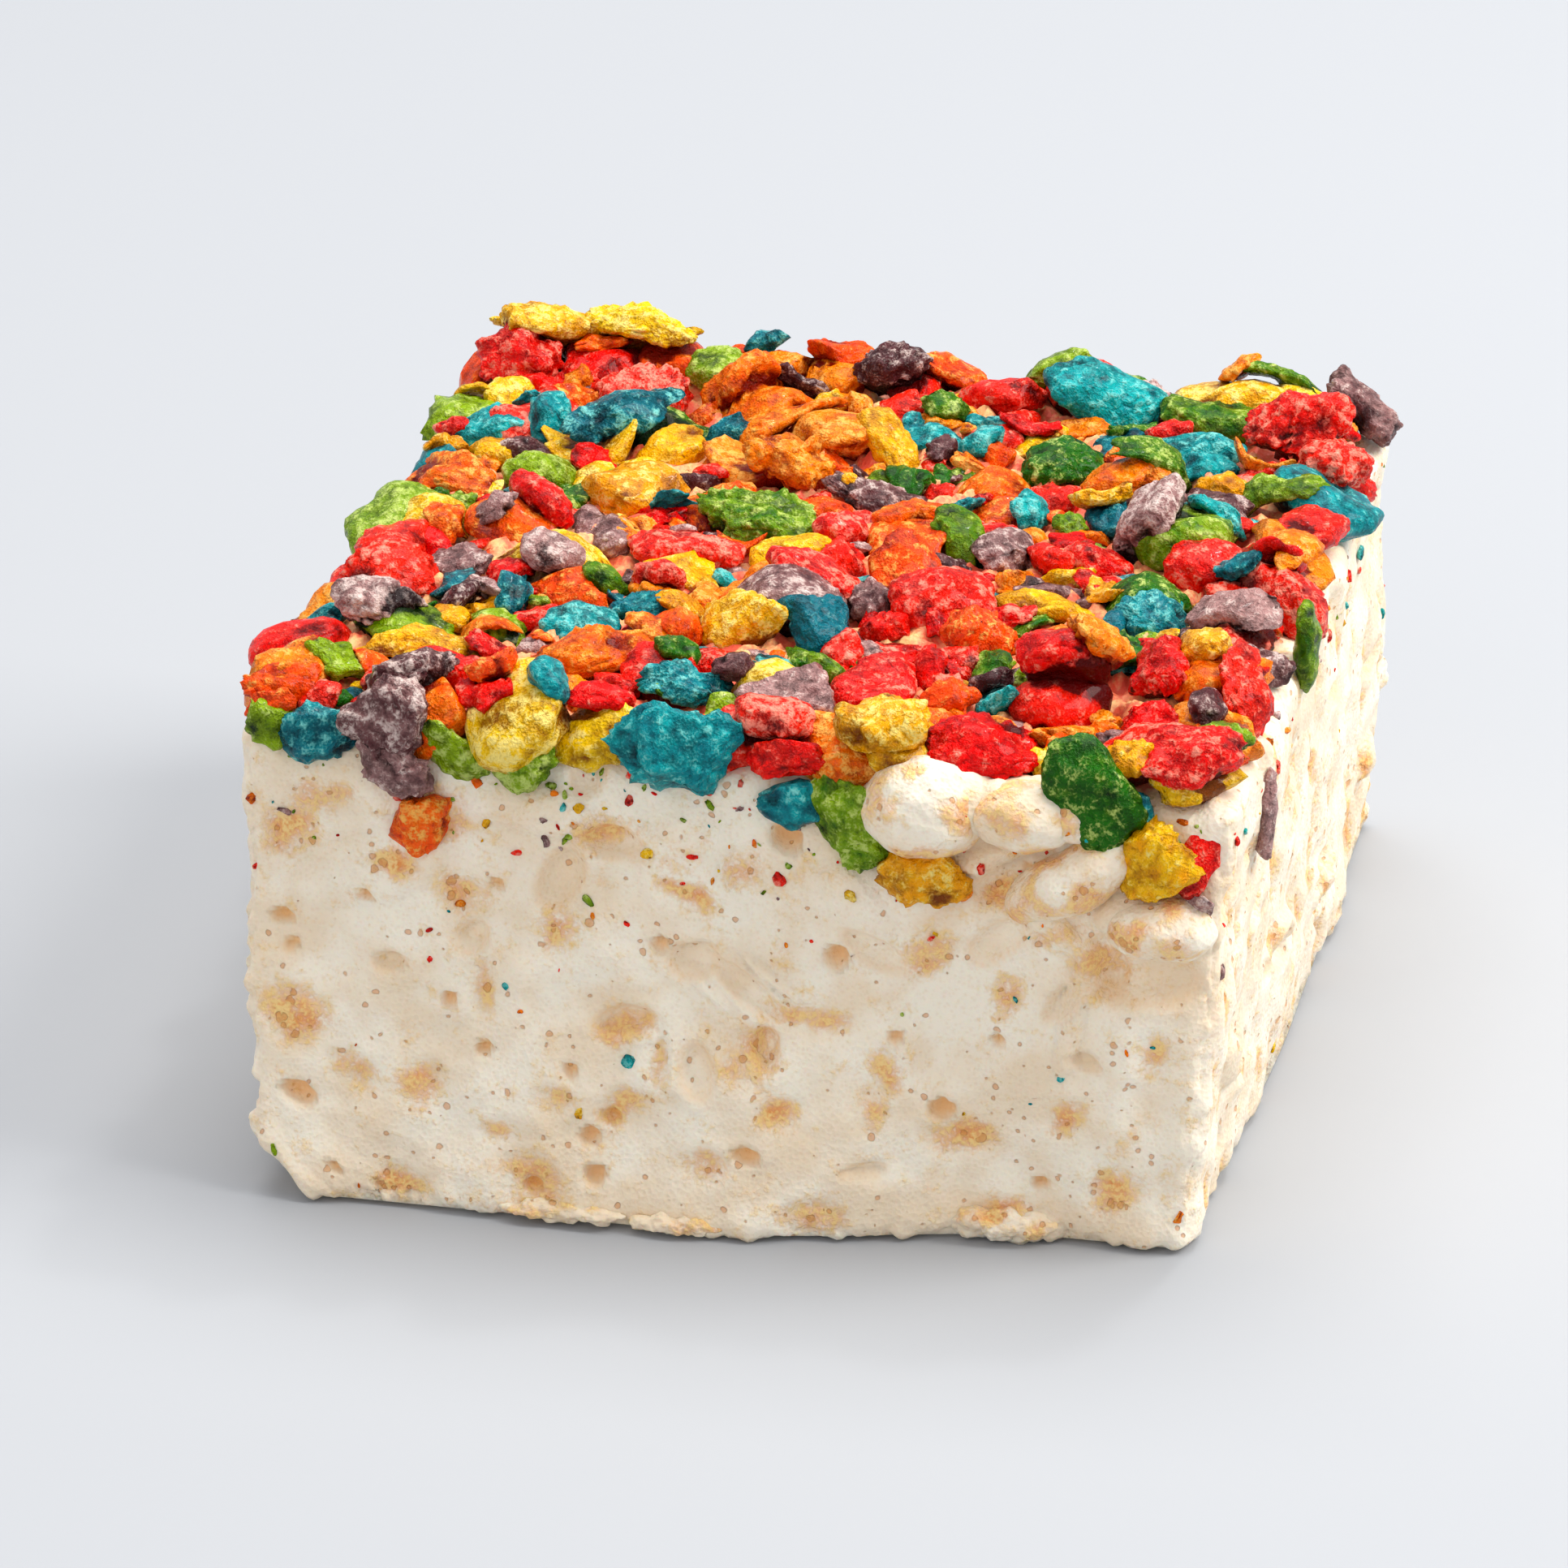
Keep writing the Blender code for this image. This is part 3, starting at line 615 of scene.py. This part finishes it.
# Flakes that lie on top of the others, in millimetres: across, back, length, width, turn, then kind
# and tone, from 0 for the darkest of its colour to 1 for the palest
LAID_FLAKES = {
    "red": (
        (-36, 35, 7, 6, 12, "chunk", 0.45), (-24, 30, 8, 7, 25, "cluster", 0.9),
        (-26, 1, 8, 5, -49, "grain", 0.35), (-12, -5, 9, 5, 5, "grain", 0.75),
        (-34, -17, 8, 7, 20, "cluster", 1.0), (-5, -27, 7, 4, 0, "flake", 0.5),
        (0, -10, 8, 7, 30, "grain", 0.4), (34, 30, 9, 7, 0, "cluster", 0.5),
        (38, 24, 6, 6, 30, "cluster", 0.8), (38, 10, 8, 5, 90, "grain", 0.6),
        (36, 0, 8, 5, -70, "grain", 0.4), (31, 0, 7, 6, 10, "grain", 0.5),
        (11, -12, 8, 6, 20, "grain", 0.6), (9, -29, 8, 6, 80, "grain", 0.3),
        (24, -28, 7, 7, 60, "grain", 0.3), (31, -24, 7, 5, 110, "chunk", 0.3),
        (38, -26, 8, 5, 100, "cluster", 0.8), (36, -40, 8, 6, 10, "chunk", 0.3),
        (20, -40, 9, 6, 15, "chunk", 0.2), (3, -40, 6, 5, 10, "grain", 0.95),
    ),
    "orange": (
        (-15, 31, 7, 6, 45, "chunk", 0.5), (-10, 24, 11, 6, 30, "flake", 0.7),
        (-36, 8, 10, 5, -22, "flake", 0.5), (-7, 13, 8, 5, 0, "cluster", 0.8),
        (-13, 5, 6, 4, -75, "curl", 0.4), (-15, -29, 11, 7, 25, "cluster", 0.5),
        (-37, -40, 6, 4, 20, "chunk", 0.2), (2, 40, 7, 5, 30, "chunk", 0.3), (5, 6, 8, 4, 50, "grain", 0.4),
        (12, 10, 8, 4, 25, "flake", 0.3), (38, 1, 8, 4, -80, "curl", 0.8),
        (15, -18, 6, 6, 60, "chunk", 0.1), (22, -17, 10, 5, 0, "flake", 0.6),
        (27, -28, 6, 5, 50, "cluster", 0.8), (-8, 40, 6, 4, 10, "chunk", 0.2),
    ),
    "yellow": (
        (-35, 40, 9, 5, 12, "flake", 0.6), (-27, 40, 12, 5, -15, "cluster", 0.9),
        (-33, 14, 5, 4, -60, "grain", 0.4), (-18, 17, 7, 5, 60, "grain", 0.4),
        (-34, -2, 7, 4, 12, "curl", 0.7), (-22, -8, 11, 5, -5, "curl", 0.8),
        (-29, -30, 12, 4, 12, "flake", 0.5), (-4, -20, 8, 6, -20, "shard", 0.5),
        (-3, -4, 7, 5, 20, "grain", 0.6), (0, 21, 7, 4, -50, "grain", 0.4),
        (19, -10, 8, 4, 0, "grain", 0.5), (34, -21, 5, 4, 100, "grain", 0.3),
        (12, -41, 7, 6, 30, "chunk", 0.4),
    ),
    "green": (
        (-18, 36, 6, 5, 30, "grain", 0.7), (-28, 10, 6, 6, 0, "grain", 0.9),
        (-8, 3, 10, 7, -10, "cluster", 0.5), (-34, -35, 5, 4, 20, "chunk", 0.9),
        (11, 40, 6, 4, 20, "chunk", 0.8), (26, 34, 9, 5, -5, "grain", 0.4), (32, 40, 9, 4, 0, "flake", 0.4),
        (15, 21, 8, 6, 50, "chunk", 0.1), (24, 19, 9, 4, 25, "curl", 0.3), (10, 2, 7, 4, -40, "grain", 0.5),
        (34, 17, 8, 4, 12, "flake", 0.6), (28, -7, 8, 5, 20, "curl", 0.15),
    ),
    "teal": (
        (-35, 18, 7, 5, 20, "cluster", 0.7), (-29, 19, 5, 4, -70, "grain", 0.5),
        (-23, 19, 11, 5, 45, "shard", 0.15), (-17, -22, 6, 5, 15, "grain", 0.6),
        (-13, -17, 6, 4, 20, "cluster", 0.3), (-5, -34, 8, 4, 0, "flake", 0.4),
        (3, -20, 9, 6, -20, "flake", 0.0), (3, 25, 6, 4, 0, "grain", 0.5),
        (16, 35, 10, 6, -5, "grain", 0.7), (25, 27, 9, 5, 5, "grain", 0.6),
        (30, 9, 6, 5, -10, "flake", 0.9), (28, -11, 6, 5, 30, "cluster", 0.4),
        (19, -30, 6, 4, -50, "flake", 0.9), (-15, -40, 5, 4, 90, "grain", 0.5),
    ),
    "purple": (
        (-11, 34, 6, 4, 20, "cluster", 0.2), (-20, -1, 8, 4, -60, "grain", 0.6),
        (-30, -11, 6, 5, -60, "cluster", 0.6), (-33, -25, 7, 5, -5, "cluster", 0.9),
        (-27, -39, 7, 6, -20, "cluster", 0.3), (4, -35, 9, 7, -45, "shard", 0.7),
        (1, 11, 9, 5, 15, "cluster", 0.4), (-3, 37, 7, 6, 0, "cluster", 0.1),
        (38, 39, 8, 6, -30, "cluster", 0.5), (25, 5, 8, 7, -10, "grain", 0.7),
        (35, -12, 7, 6, -30, "shard", 0.9), (14, 0, 6, 5, 40, "shard", 0.6),
    ),
}

# Smaller ones that the CAD leaves out, most without a kind or tone of their own
SMALL_FLAKES = {
    "red": (
        (-16, 41, 6, 3, 10), (-24, 13, 4, 3, 0), (-25, -13, 4, 3, 40), (-21, -21, 4, 3, 0),
        (-29, -36, 5, 3, 20), (-20, -41, 5, 4, -30), (-11, -40, 5, 3, 20), (0, 1, 5, 4, 60),
        (11, 27, 5, 3, 0), (22, 0, 5, 4, 20), (32, -33, 5, 4, 0),
    ),
    "orange": (
        (-29, 37, 5, 3, 10), (-24, -25, 5, 3, 20), (-9, -21, 4, 4, 50), (-20, -39, 4, 4, 0),
        (27, 40, 4, 4, 80), (15, 31, 5, 3, 20), (32, 23, 6, 3, 0), (26, -36, 4, 3, 30),
        (14, -35, 5, 3, 40), (15, -31, 5, 4, -20),
    ),
    "yellow": (
        (-33.5, 38, 9, 5, 8, "chunk", 0.5), (-26, 38, 10, 4, -12, "cluster", 0.95), (-20, 13, 4, 3, 30),
        (-28, -23, 4, 4, 60), (-11, -36, 4, 3, 0), (31, -41, 4, 4, 80), (20, 12, 5, 3, 0),
    ),
    "green": (
        (-17, -13, 4, 3, 20), (-7, -30, 4, 3, 70), (18, 41, 5, 4, 0), (38, -36, 4, 4, 60),
        (3, 30, 4, 3, 0),
    ),
    "teal": (
        (-15, 41, 4, 3, 0), (-32, 24, 3, 3, 50), (-15, 4, 4, 3, 0), (-29, -16, 5, 3, 75),
        (-38, -24, 5, 3, 10), (2, -28, 6, 3, 0), (8, 28, 3, 3, 60), (34, -3, 4, 3, 0),
    ),
    "purple": (
        (-29, -3, 4, 3, 0), (-22, -11, 5, 4, 20), (-25, -18, 5, 3, 0), (-2, -32, 3, 3, 0),
        (5, -12, 4, 4, 45), (20, 41, 4, 3, 90), (19, -6, 6, 3, 10), (20, -24, 4, 3, 0),
        (36, -32, 4, 3, 80),
    ),
}

# Flakes stuck to the upright faces: face, across, up, length, width, turn, kind and tone
HUNG_FLAKES = {
    "red": (("front", 4.5, 39.5, 6, 3, 0, "chunk", 0.4), ("front", 37.5, 33.5, 5, 3, 70, "grain", 0.5)),
    "orange": (("front", -25, 31.8, 5, 4, 60, "shard", 0.4), ("front", -37, 40.0, 4, 3, 20, "chunk", 0.1)),
    "yellow": (("front", 16.0, 31.0, 7, 5, -10, "chunk", 0.3), ("front", 34, 34.0, 7, 6, 20, "flake", 0.5)),
    "green": (
        ("front", 10, 35.0, 8, 5, -55, "shard", 0.6), ("front", -22.5, 38, 6, 4, -60, "chunk", 1.0),
        ("front", -16.5, 38, 5, 5, 30, "cluster", 0.7), ("front", 28.5, 39, 9, 6, -55, "grain", 0.1),
        ("front", -37, 39, 4, 4, 10, "chunk", 0.9), ("right", -11, 39, 4, 7, 0, "grain", 0.5),
    ),
    "teal": (
        ("front", -4.5, 40, 10, 7, -8, "chunk", 0.5), ("front", 5, 36, 4, 5, 70, "shard", 0.4),
        ("front", -33, 38.5, 6, 5, 5, "cluster", 0.3), ("front", 32, 37, 4, 3, 75, "grain", 0.3),
    ),
    "purple": (
        ("front", -27, 40.5, 7, 6, 50, "cluster", 0.4), ("front", -27, 36.8, 7, 5, -20, "cluster", 0.6),
        ("front", 37.5, 29.5, 4, 2.5, 60, "curl", 0.7), ("right", -28, 32, 3, 7, 0, "chunk", 0.8),
    ),
}

# Flakes laid by a rule: how many, and the shortest and longest
UNDER_LAYER = (56, 7.0 * MM, 10.0 * MM)
GAP_FILL = (48, 4.0 * MM, 6.0 * MM)
FINE_FILL = (130, 2.2 * MM, 4.6 * MM)
CRUMB_FILL = (170, 1.4 * MM, 3.0 * MM)
WIDTH_SHARE = (0.55, 0.85)
THICKNESS_SHARE = (0.5, 0.75)
COLOUR_SHARES = {"red": 30, "orange": 28, "yellow": 13, "green": 11, "teal": 7, "purple": 11}
UNDER_SHARES = {"red": 32, "orange": 36, "yellow": 20, "green": 6, "teal": 3, "purple": 3}
SPOTS_TRIED = 14
SEED = 7

# Crumbs on the upright faces: how many, their sizes, and how far below the rim most of them lie
CRUMBS = {"front": 190, "right": 50, "left": 30, "back": 50}
CRUMB_SIZES = (0.3 * MM, 1.3 * MM)
CRUMB_SPREAD = 4.5 * MM
CRUMBS_LOW_DOWN = 0.02
CRUMB_SHARES = {"red": 28, "orange": 18, "yellow": 14, "green": 20, "teal": 12, "purple": 8}

# How a flake beds into those below it
GRID_STEP = 0.5 * MM
RIM_INSET = 1.5 * MM
SUNK_SHARE = 0.25
RESTING_PERCENTILE = 60
MOST_SLOPE = 0.55
TILT_JITTER = 10

Flake = collections.namedtuple("Flake", "colour centre turn size look", defaults=((),))


class Bed:
    """The height of what has been laid so far, over a grid that covers the block's top."""

    def __init__(self):
        reach_x, reach_y = WIDTH / 2 - RIM_INSET, DEPTH / 2 - RIM_INSET
        side_x = np.arange(-reach_x, reach_x, GRID_STEP)
        side_y = np.arange(-reach_y, reach_y, GRID_STEP) + CENTRE_Y
        self.x, self.y = np.meshgrid(side_x, side_y)
        from_rim = np.minimum(WIDTH / 2 - abs(self.x), DEPTH / 2 - abs(self.y - CENTRE_Y))
        self.height = HEIGHT + CEREAL_BED * np.clip(from_rim / BED_FULL, 0, 1)

    def footprint(self, x, y, length, width, degrees):
        """How far each grid point is from the flake's middle, as a share of its outline."""
        angle = math.radians(degrees)
        along = (self.x - x) * math.cos(angle) + (self.y - y) * math.sin(angle)
        across = (self.y - y) * math.cos(angle) - (self.x - x) * math.sin(angle)
        return np.hypot(along / (length / 2), across / (width / 2))

    def lay(self, colour, x, y, size, degrees, rng):
        """Beds a flake on what is below it, tilted as that is, and returns it."""
        share = self.footprint(x, y, size[0], size[1], degrees)
        under = share < 1
        offset_x, offset_y = self.x[under] - x, self.y[under] - y
        plane = np.column_stack((np.ones(under.sum()), offset_x, offset_y))
        slopes = np.linalg.lstsq(plane, self.height[under], rcond=None)[0][1:]
        slopes = np.clip(slopes, -MOST_SLOPE, MOST_SLOPE)
        tilted = offset_x * slopes[0] + offset_y * slopes[1]
        level = np.percentile(self.height[under] - tilted, RESTING_PERCENTILE)
        centre_z = level + (0.5 - SUNK_SHARE) * size[2]
        crown = centre_z + tilted + size[2] / 2 * np.sqrt(1 - share[under] ** 2)
        self.height[under] = np.maximum(self.height[under], crown)
        outward = Vector((-slopes[0], -slopes[1], 1)).normalized()
        jitter = [math.radians(rng.uniform(-TILT_JITTER, TILT_JITTER)) for _ in range(2)]
        outward.rotate(Matrix.Rotation(jitter[0], 3, "X") @ Matrix.Rotation(jitter[1], 3, "Y"))
        turn = in_plane_turn(outward, Vector((1, 0, 0)), degrees)
        return Flake(colour, Vector((x, y, centre_z)), turn, size)

    def height_at(self, points):
        """The height of what is laid over or under each point, or the point's own off the top."""
        column = np.round((points[:, 0] - self.x[0, 0]) / GRID_STEP).astype(int)
        row = np.round((points[:, 1] - self.y[0, 0]) / GRID_STEP).astype(int)
        rows, columns = self.height.shape
        inside = (column >= 0) & (column < columns) & (row >= 0) & (row < rows)
        found = points[:, 2].copy()
        found[inside] = self.height[row[inside], column[inside]]
        return found

    def lowest_spot(self, length, rng):
        """Of a few spots drawn at random, the one where least has been laid."""
        spots = []
        for _ in range(SPOTS_TRIED):
            x = rng.uniform(self.x.min(), self.x.max())
            y = rng.uniform(self.y.min(), self.y.max())
            near = self.footprint(x, y, length, length, 0) < 1
            spots.append((self.height[near].mean(), x, y))
        return min(spots)[1:]


def flake_size(length, width, rng):
    return Vector((length, width, min(length, width) * rng.uniform(*THICKNESS_SHARE)))


def scattered(bed, count, shortest, longest, shares, rng):
    """Flakes of mixed colours and sizes, each in the lowest spot found for it."""
    colours, weights = zip(*shares.items())
    flakes = []
    for _ in range(count):
        length = rng.uniform(shortest, longest)
        x, y = bed.lowest_spot(length, rng)
        colour = rng.choices(colours, weights)[0]
        size = flake_size(length, length * rng.uniform(*WIDTH_SHARE), rng)
        flakes.append(bed.lay(colour, x, y, size, rng.uniform(0, 180), rng))
    return flakes


def laid_by_hand(bed, places_by_colour, rng):
    flakes = []
    for colour, places in places_by_colour.items():
        for x, y, length, width, degrees, *look in places:
            size = flake_size(length * MM, width * MM, rng)
            flake = bed.lay(colour, x * MM, y * MM + CENTRE_Y, size, degrees, rng)
            flakes.append(flake._replace(look=look))
    return flakes


def hung_on_faces(rng):
    """Flakes that stick to the front and right faces, just under the top's rim."""
    flakes = []
    for colour, places in HUNG_FLAKES.items():
        for face_name, across, up, length, width, degrees, *look in places:
            point, outward = face_point(face_name, across * MM, up * MM)
            size = flake_size(length * MM, width * MM, rng)
            turn = in_plane_turn(outward, Vector((0, 0, 1)).cross(outward), degrees)
            centre = point + outward * size.z * (0.5 - SUNK_SHARE)
            flakes.append(Flake(colour, centre, turn, size, look))
    return flakes


def crumbs_on_faces(rng):
    """Coloured crumbs on the block's own surface, thickest just under the cereal."""
    colours, weights = zip(*CRUMB_SHARES.items())
    crumbs = []
    for face_name, count in CRUMBS.items():
        out = Vector(FACES[face_name].out)
        near = np.flatnonzero((outward @ np.array(out) > 0.9) & (block_points[:, 2] > 1 * MM))
        below = HEIGHT - block_points[near, 2]
        likely = (np.exp(-below / CRUMB_SPREAD) + CRUMBS_LOW_DOWN).tolist()
        for n in rng.choices(near.tolist(), likely, k=count):
            length = CRUMB_SIZES[0] + (CRUMB_SIZES[1] - CRUMB_SIZES[0]) * rng.random() ** 2.5
            turn = in_plane_turn(out, Vector((0, 0, 1)).cross(out), rng.uniform(0, 180))
            size = Vector((length, length * rng.uniform(0.4, 0.9), length * 0.5))
            colour = rng.choices(colours, weights)[0]
            look = "shard", rng.uniform(0.5, 1)
            crumbs.append(Flake(colour, Vector(block_points[n]), turn, size, look))
    return crumbs


# How each kind of flake is shaped: ragged outline as a share, then lumps and bend in millimetres on
# one 7 mm long, blisters and crinkles in millimetres, and how many flat chips are broken from it
Kind = collections.namedtuple("Kind", "ragged lumps blisters crinkle bend chips")
KINDS = {
    "grain": Kind(0.07, 0.60, 0.34, 0.14, 0.15, 0),
    "chunk": Kind(0.20, 0.95, 0.50, 0.22, 0.2, 1),
    "cluster": Kind(0.20, 0.95, 0.80, 0.22, 0.2, 0),
    "flake": Kind(0.32, 0.90, 0.42, 0.26, 0.8, 1),
    "curl": Kind(0.22, 0.60, 0.36, 0.20, 2.0, 0),
    "shard": Kind(0.30, 0.80, 0.26, 0.16, 0.2, 7),
}
THINNER = {"flake": 0.75, "curl": 0.7}
KIND_SHARES = {
    "red": ("grain", "grain", "chunk", "cluster", "flake"),
    "orange": ("flake", "chunk", "curl", "cluster", "shard"),
    "yellow": ("curl", "flake", "grain", "chunk"),
    "green": ("grain", "flake", "curl", "cluster"),
    "teal": ("grain", "flake", "chunk", "shard"),
    "purple": ("cluster", "cluster", "grain", "shard"),
}
NOMINAL_LENGTH = 7.0
CELLS_PER_MM = 2.3
FEWEST_CELLS, MOST_CELLS, UNDER_CELLS = 3, 22, 7
LUMP_SPACING = 2.6
BLISTER_SPACING = 1.15
CRINKLE_SPACING = 0.75
DENTS = 4
BOXINESS = 0.88
CHIP_CUT = 0.92
SWELL = 1.12
SHAPE_SEED = 11
EXTRA_TILT = 9
# How far under the top of the heap a point lies when the painted shade of deep gaps begins, and over what
# depth it grows full
BURIED_FROM = 1.0 * MM
BURIED_DEPTH = 2.2 * MM


@functools.cache
def ball_of(cells):
    """Points on a ball of radius 1, and its faces, with that many cells along each of six sides."""
    points, faces, rim = cube_grid((cells, cells, cells))
    under = cube_grid((cells, cells, cells))[0] * (1, 1, -1)
    lid = np.isclose(points[:, 2], 1)
    key = {tuple(p): n for n, p in enumerate(points.round(6).tolist())}
    extra = []
    for n in np.flatnonzero(lid):
        p = tuple(under[n].round(6).tolist())
        if p not in key:
            key[p] = len(points) + len(extra)
            extra.append(p)
    top_faces = faces[lid[faces].all(axis=1)]
    mirror = np.full(len(points), -1)
    for n in np.flatnonzero(lid):
        mirror[n] = key[tuple(under[n].round(6).tolist())]
    faces = np.concatenate((faces, mirror[top_faces][:, ::-1]))
    points = np.concatenate((points, np.array(extra).reshape(-1, 3)))
    rounder = np.tan(points * math.pi / 4)
    return rounder / np.linalg.norm(rounder, axis=1, keepdims=True), faces


def puffed_shape(kind, size, cells, rng):
    """Points of one puffed flake in its own frame, its faces, and how raised each point is."""
    ball, faces = ball_of(cells)
    length = size[0] / MM
    scale = length / NOMINAL_LENGTH
    shift = np.array([rng.uniform(0, 100) for _ in range(3)])
    ring = ball[:, :2] / np.maximum(np.linalg.norm(ball[:, :2], axis=1), 1e-6)[:, None]
    around = np.column_stack((ring * 1.1, np.zeros(len(ball)))) + shift
    jag = noise_at(around, 1.0) + noise_at(around * 3, 1.0) * 0.5 + noise_at(around * 9, 1.0) * 0.35
    points = np.sign(ball) * np.abs(ball) ** BOXINESS * (np.array(size) / MM / 2)
    points[:, :2] *= (1 + kind.ragged * jag)[:, None]
    warp = np.array([noise.noise_vector(p) for p in (points / (LUMP_SPACING * scale) + shift).tolist()])
    points += kind.lumps * scale * warp
    for _ in range(kind.chips):
        way = np.array((rng.gauss(0, 1), rng.gauss(0, 1), rng.gauss(0, 0.8)))
        way /= np.linalg.norm(way)
        reach = points @ way
        over = np.maximum(reach - reach.max() * rng.uniform(0.55, 0.85), 0)
        points -= CHIP_CUT * over[:, None] * way
    warped = points + 0.3 * np.array([noise.noise_vector(p) for p in (points * 1.6 + shift).tolist()])
    nearest = [noise.voronoi(p)[0][:2] for p in ((warped + shift) / BLISTER_SPACING).tolist()]
    near, second = np.array(nearest).T
    raised = np.clip((second - near) / 0.7, 0, 1) ** 0.6
    blistered = ramp(noise_at(points + shift, 2.4), -0.35, 0.35)
    points += ball * (kind.blisters * raised * (0.3 + 0.7 * blistered))[:, None]
    points += ball * (kind.crinkle * noise_at(points + shift, CRINKLE_SPACING))[:, None]
    raised = 0.35 + 0.65 * raised * blistered
    for _ in range(DENTS):
        middle = points[rng.randrange(len(points))]
        wide = scale * rng.uniform(0.4, 1.2)
        dent = np.exp(-(np.linalg.norm(points - middle, axis=1) / wide) ** 2)
        points -= ball * (0.5 * wide * dent)[:, None]
        raised = raised * (1 - 0.7 * dent)
    low, high = points.min(axis=0), points.max(axis=0)
    points = (points - (low + high) / 2) * (np.array(size) / MM * SWELL) / (high - low)
    points[:, 2] += kind.bend * scale * rng.choice((-1, -1, 1)) * ((points[:, 0] / (length / 2)) ** 2 - 0.3)
    return points * MM, faces, raised


def placed(flake, cells, rng):
    """A flake's mesh where it lies, and how raised, buried, toned and frosted it is at each point."""
    kind_name, tone = flake.look or (rng.choice(KIND_SHARES[flake.colour]), rng.random())
    size = Vector((flake.size.x, flake.size.y, flake.size.z * THINNER.get(kind_name, 1)))
    local, faces, raised = puffed_shape(KINDS[kind_name], size, cells, rng)
    tip = [math.radians(rng.gauss(0, EXTRA_TILT)) for _ in range(2)]
    turn = flake.turn @ Matrix.Rotation(tip[0], 3, "X") @ Matrix.Rotation(tip[1], 3, "Y")
    points = local @ np.array(turn).T + flake.centre
    level = np.ones(len(points))
    # How deep each point lies under the heap's top, which the cereal material turns into painted shade
    buried = np.clip((bed.height_at(points) - points[:, 2] - BURIED_FROM) / BURIED_DEPTH, 0, 1)
    values = {"raised": raised, "buried": buried, "tone": level * tone, "frost": level * rng.random()}
    return points, faces, values


bed = Bed()
laying_rng = random.Random(SEED)
under_layer = scattered(bed, *UNDER_LAYER, UNDER_SHARES, laying_rng)
shown = laid_by_hand(bed, LAID_FLAKES, laying_rng)
shown += scattered(bed, *GAP_FILL, COLOUR_SHARES, laying_rng)
shown += hung_on_faces(laying_rng)
shown += laid_by_hand(bed, SMALL_FLAKES, laying_rng)
shown += scattered(bed, *FINE_FILL, COLOUR_SHARES, laying_rng)
shown += scattered(bed, *CRUMB_FILL, COLOUR_SHARES, laying_rng)
shown += crumbs_on_faces(laying_rng)

noise.seed_set(SHAPE_SEED)
look_rng = random.Random(SHAPE_SEED)
parts_by_colour = collections.defaultdict(list)
for flake in under_layer:
    parts_by_colour[flake.colour].append(placed(flake, UNDER_CELLS, look_rng))
for flake in shown:
    cells = round(np.clip(flake.size[0] / MM * CELLS_PER_MM, FEWEST_CELLS, MOST_CELLS))
    parts_by_colour[flake.colour].append(placed(flake, cells, look_rng))

# Colours of the painted shade in the creases and deep gaps, of the darkest and palest flakes, and of the
# sugar frosted on them
CEREAL_COLOURS = {
    "red": (srgb(84, 0, 0), srgb(240, 0, 0), srgb(255, 30, 0), srgb(255, 156, 132)),
    "orange": (srgb(124, 16, 0), srgb(255, 74, 0), srgb(255, 138, 0), srgb(255, 190, 92)),
    "yellow": (srgb(124, 58, 0), srgb(246, 160, 0), srgb(255, 206, 0), srgb(255, 232, 136)),
    "green": (srgb(8, 32, 0), srgb(26, 100, 0), srgb(138, 170, 0), srgb(196, 214, 116)),
    "teal": (srgb(0, 26, 36), srgb(0, 104, 120), srgb(0, 178, 178), srgb(130, 214, 206)),
    "purple": (srgb(30, 8, 10), srgb(84, 40, 44), srgb(178, 134, 130), srgb(226, 204, 196)),
}


def cereal_material(colour):
    constants = {
        "Specular IOR Level": 0.07,
        "Coat Weight": 0.15,
        "Coat Roughness": 0.08,
    }
    material, shader, place = start_material("cereal_" + colour, constants)
    crease_shade, dark, pale, frosted = CEREAL_COLOURS[colour]
    raised, buried, tone, frost = (place.value(name) for name in ("raised", "buried", "tone", "frost"))
    patch = place.grain(1.7 * MM)
    dapple = place.grain(0.9 * MM, 4.0)
    speck = place.grain(0.22 * MM)
    knob = 1 - place.cells(0.8 * MM)
    lit = tone + (patch - 0.5) * 0.9 + (dapple - 0.5) * 0.8 + (knob - 0.45) * 0.2
    body = lit.step(0.05, 0.95).blend(dark, pale)
    # Painted shade: depth falls towards 0 where a flake sits low between its blisters, knobs and specks or
    # lies buried in the heap, and there its colour goes over to the crease shade
    depth = (raised - buried * 1.1 + (knob - 0.45) * 0.25 + (speck - 0.5) * 0.3).step(0.04, 0.60)
    lace = dapple + knob * 0.22 + patch * 0.3 + raised * 0.2 + frost * 0.16 + tone * 0.14
    lace += (speck - 0.5) * 0.45
    crust = lace.step(1.07, 1.15) * 0.32 + lace.step(1.15, 1.25) * 0.38
    # The sugar is thinned on buried points and in the painted shade too
    sugar = (crust + (lace + speck * 0.6).step(1.28, 1.42) * 0.12) * (1 - buried) * (0.3 + depth * 0.7)
    shade = sugar.blend(depth.blend(crease_shade, body), frosted)
    height = dapple * 0.7 + knob * 0.35 + speck * 0.45
    feed(shader, Base_Color=shade, Roughness=0.16 + sugar * 0.3, Normal=place.bump(height, 0.7 * MM))
    return material


for colour, parts in parts_by_colour.items():
    points, faces, values = join_parts(parts)
    piece = add_piece("cereal_" + colour, points, faces.tolist(), values)
    piece.data.materials.append(cereal_material(colour))
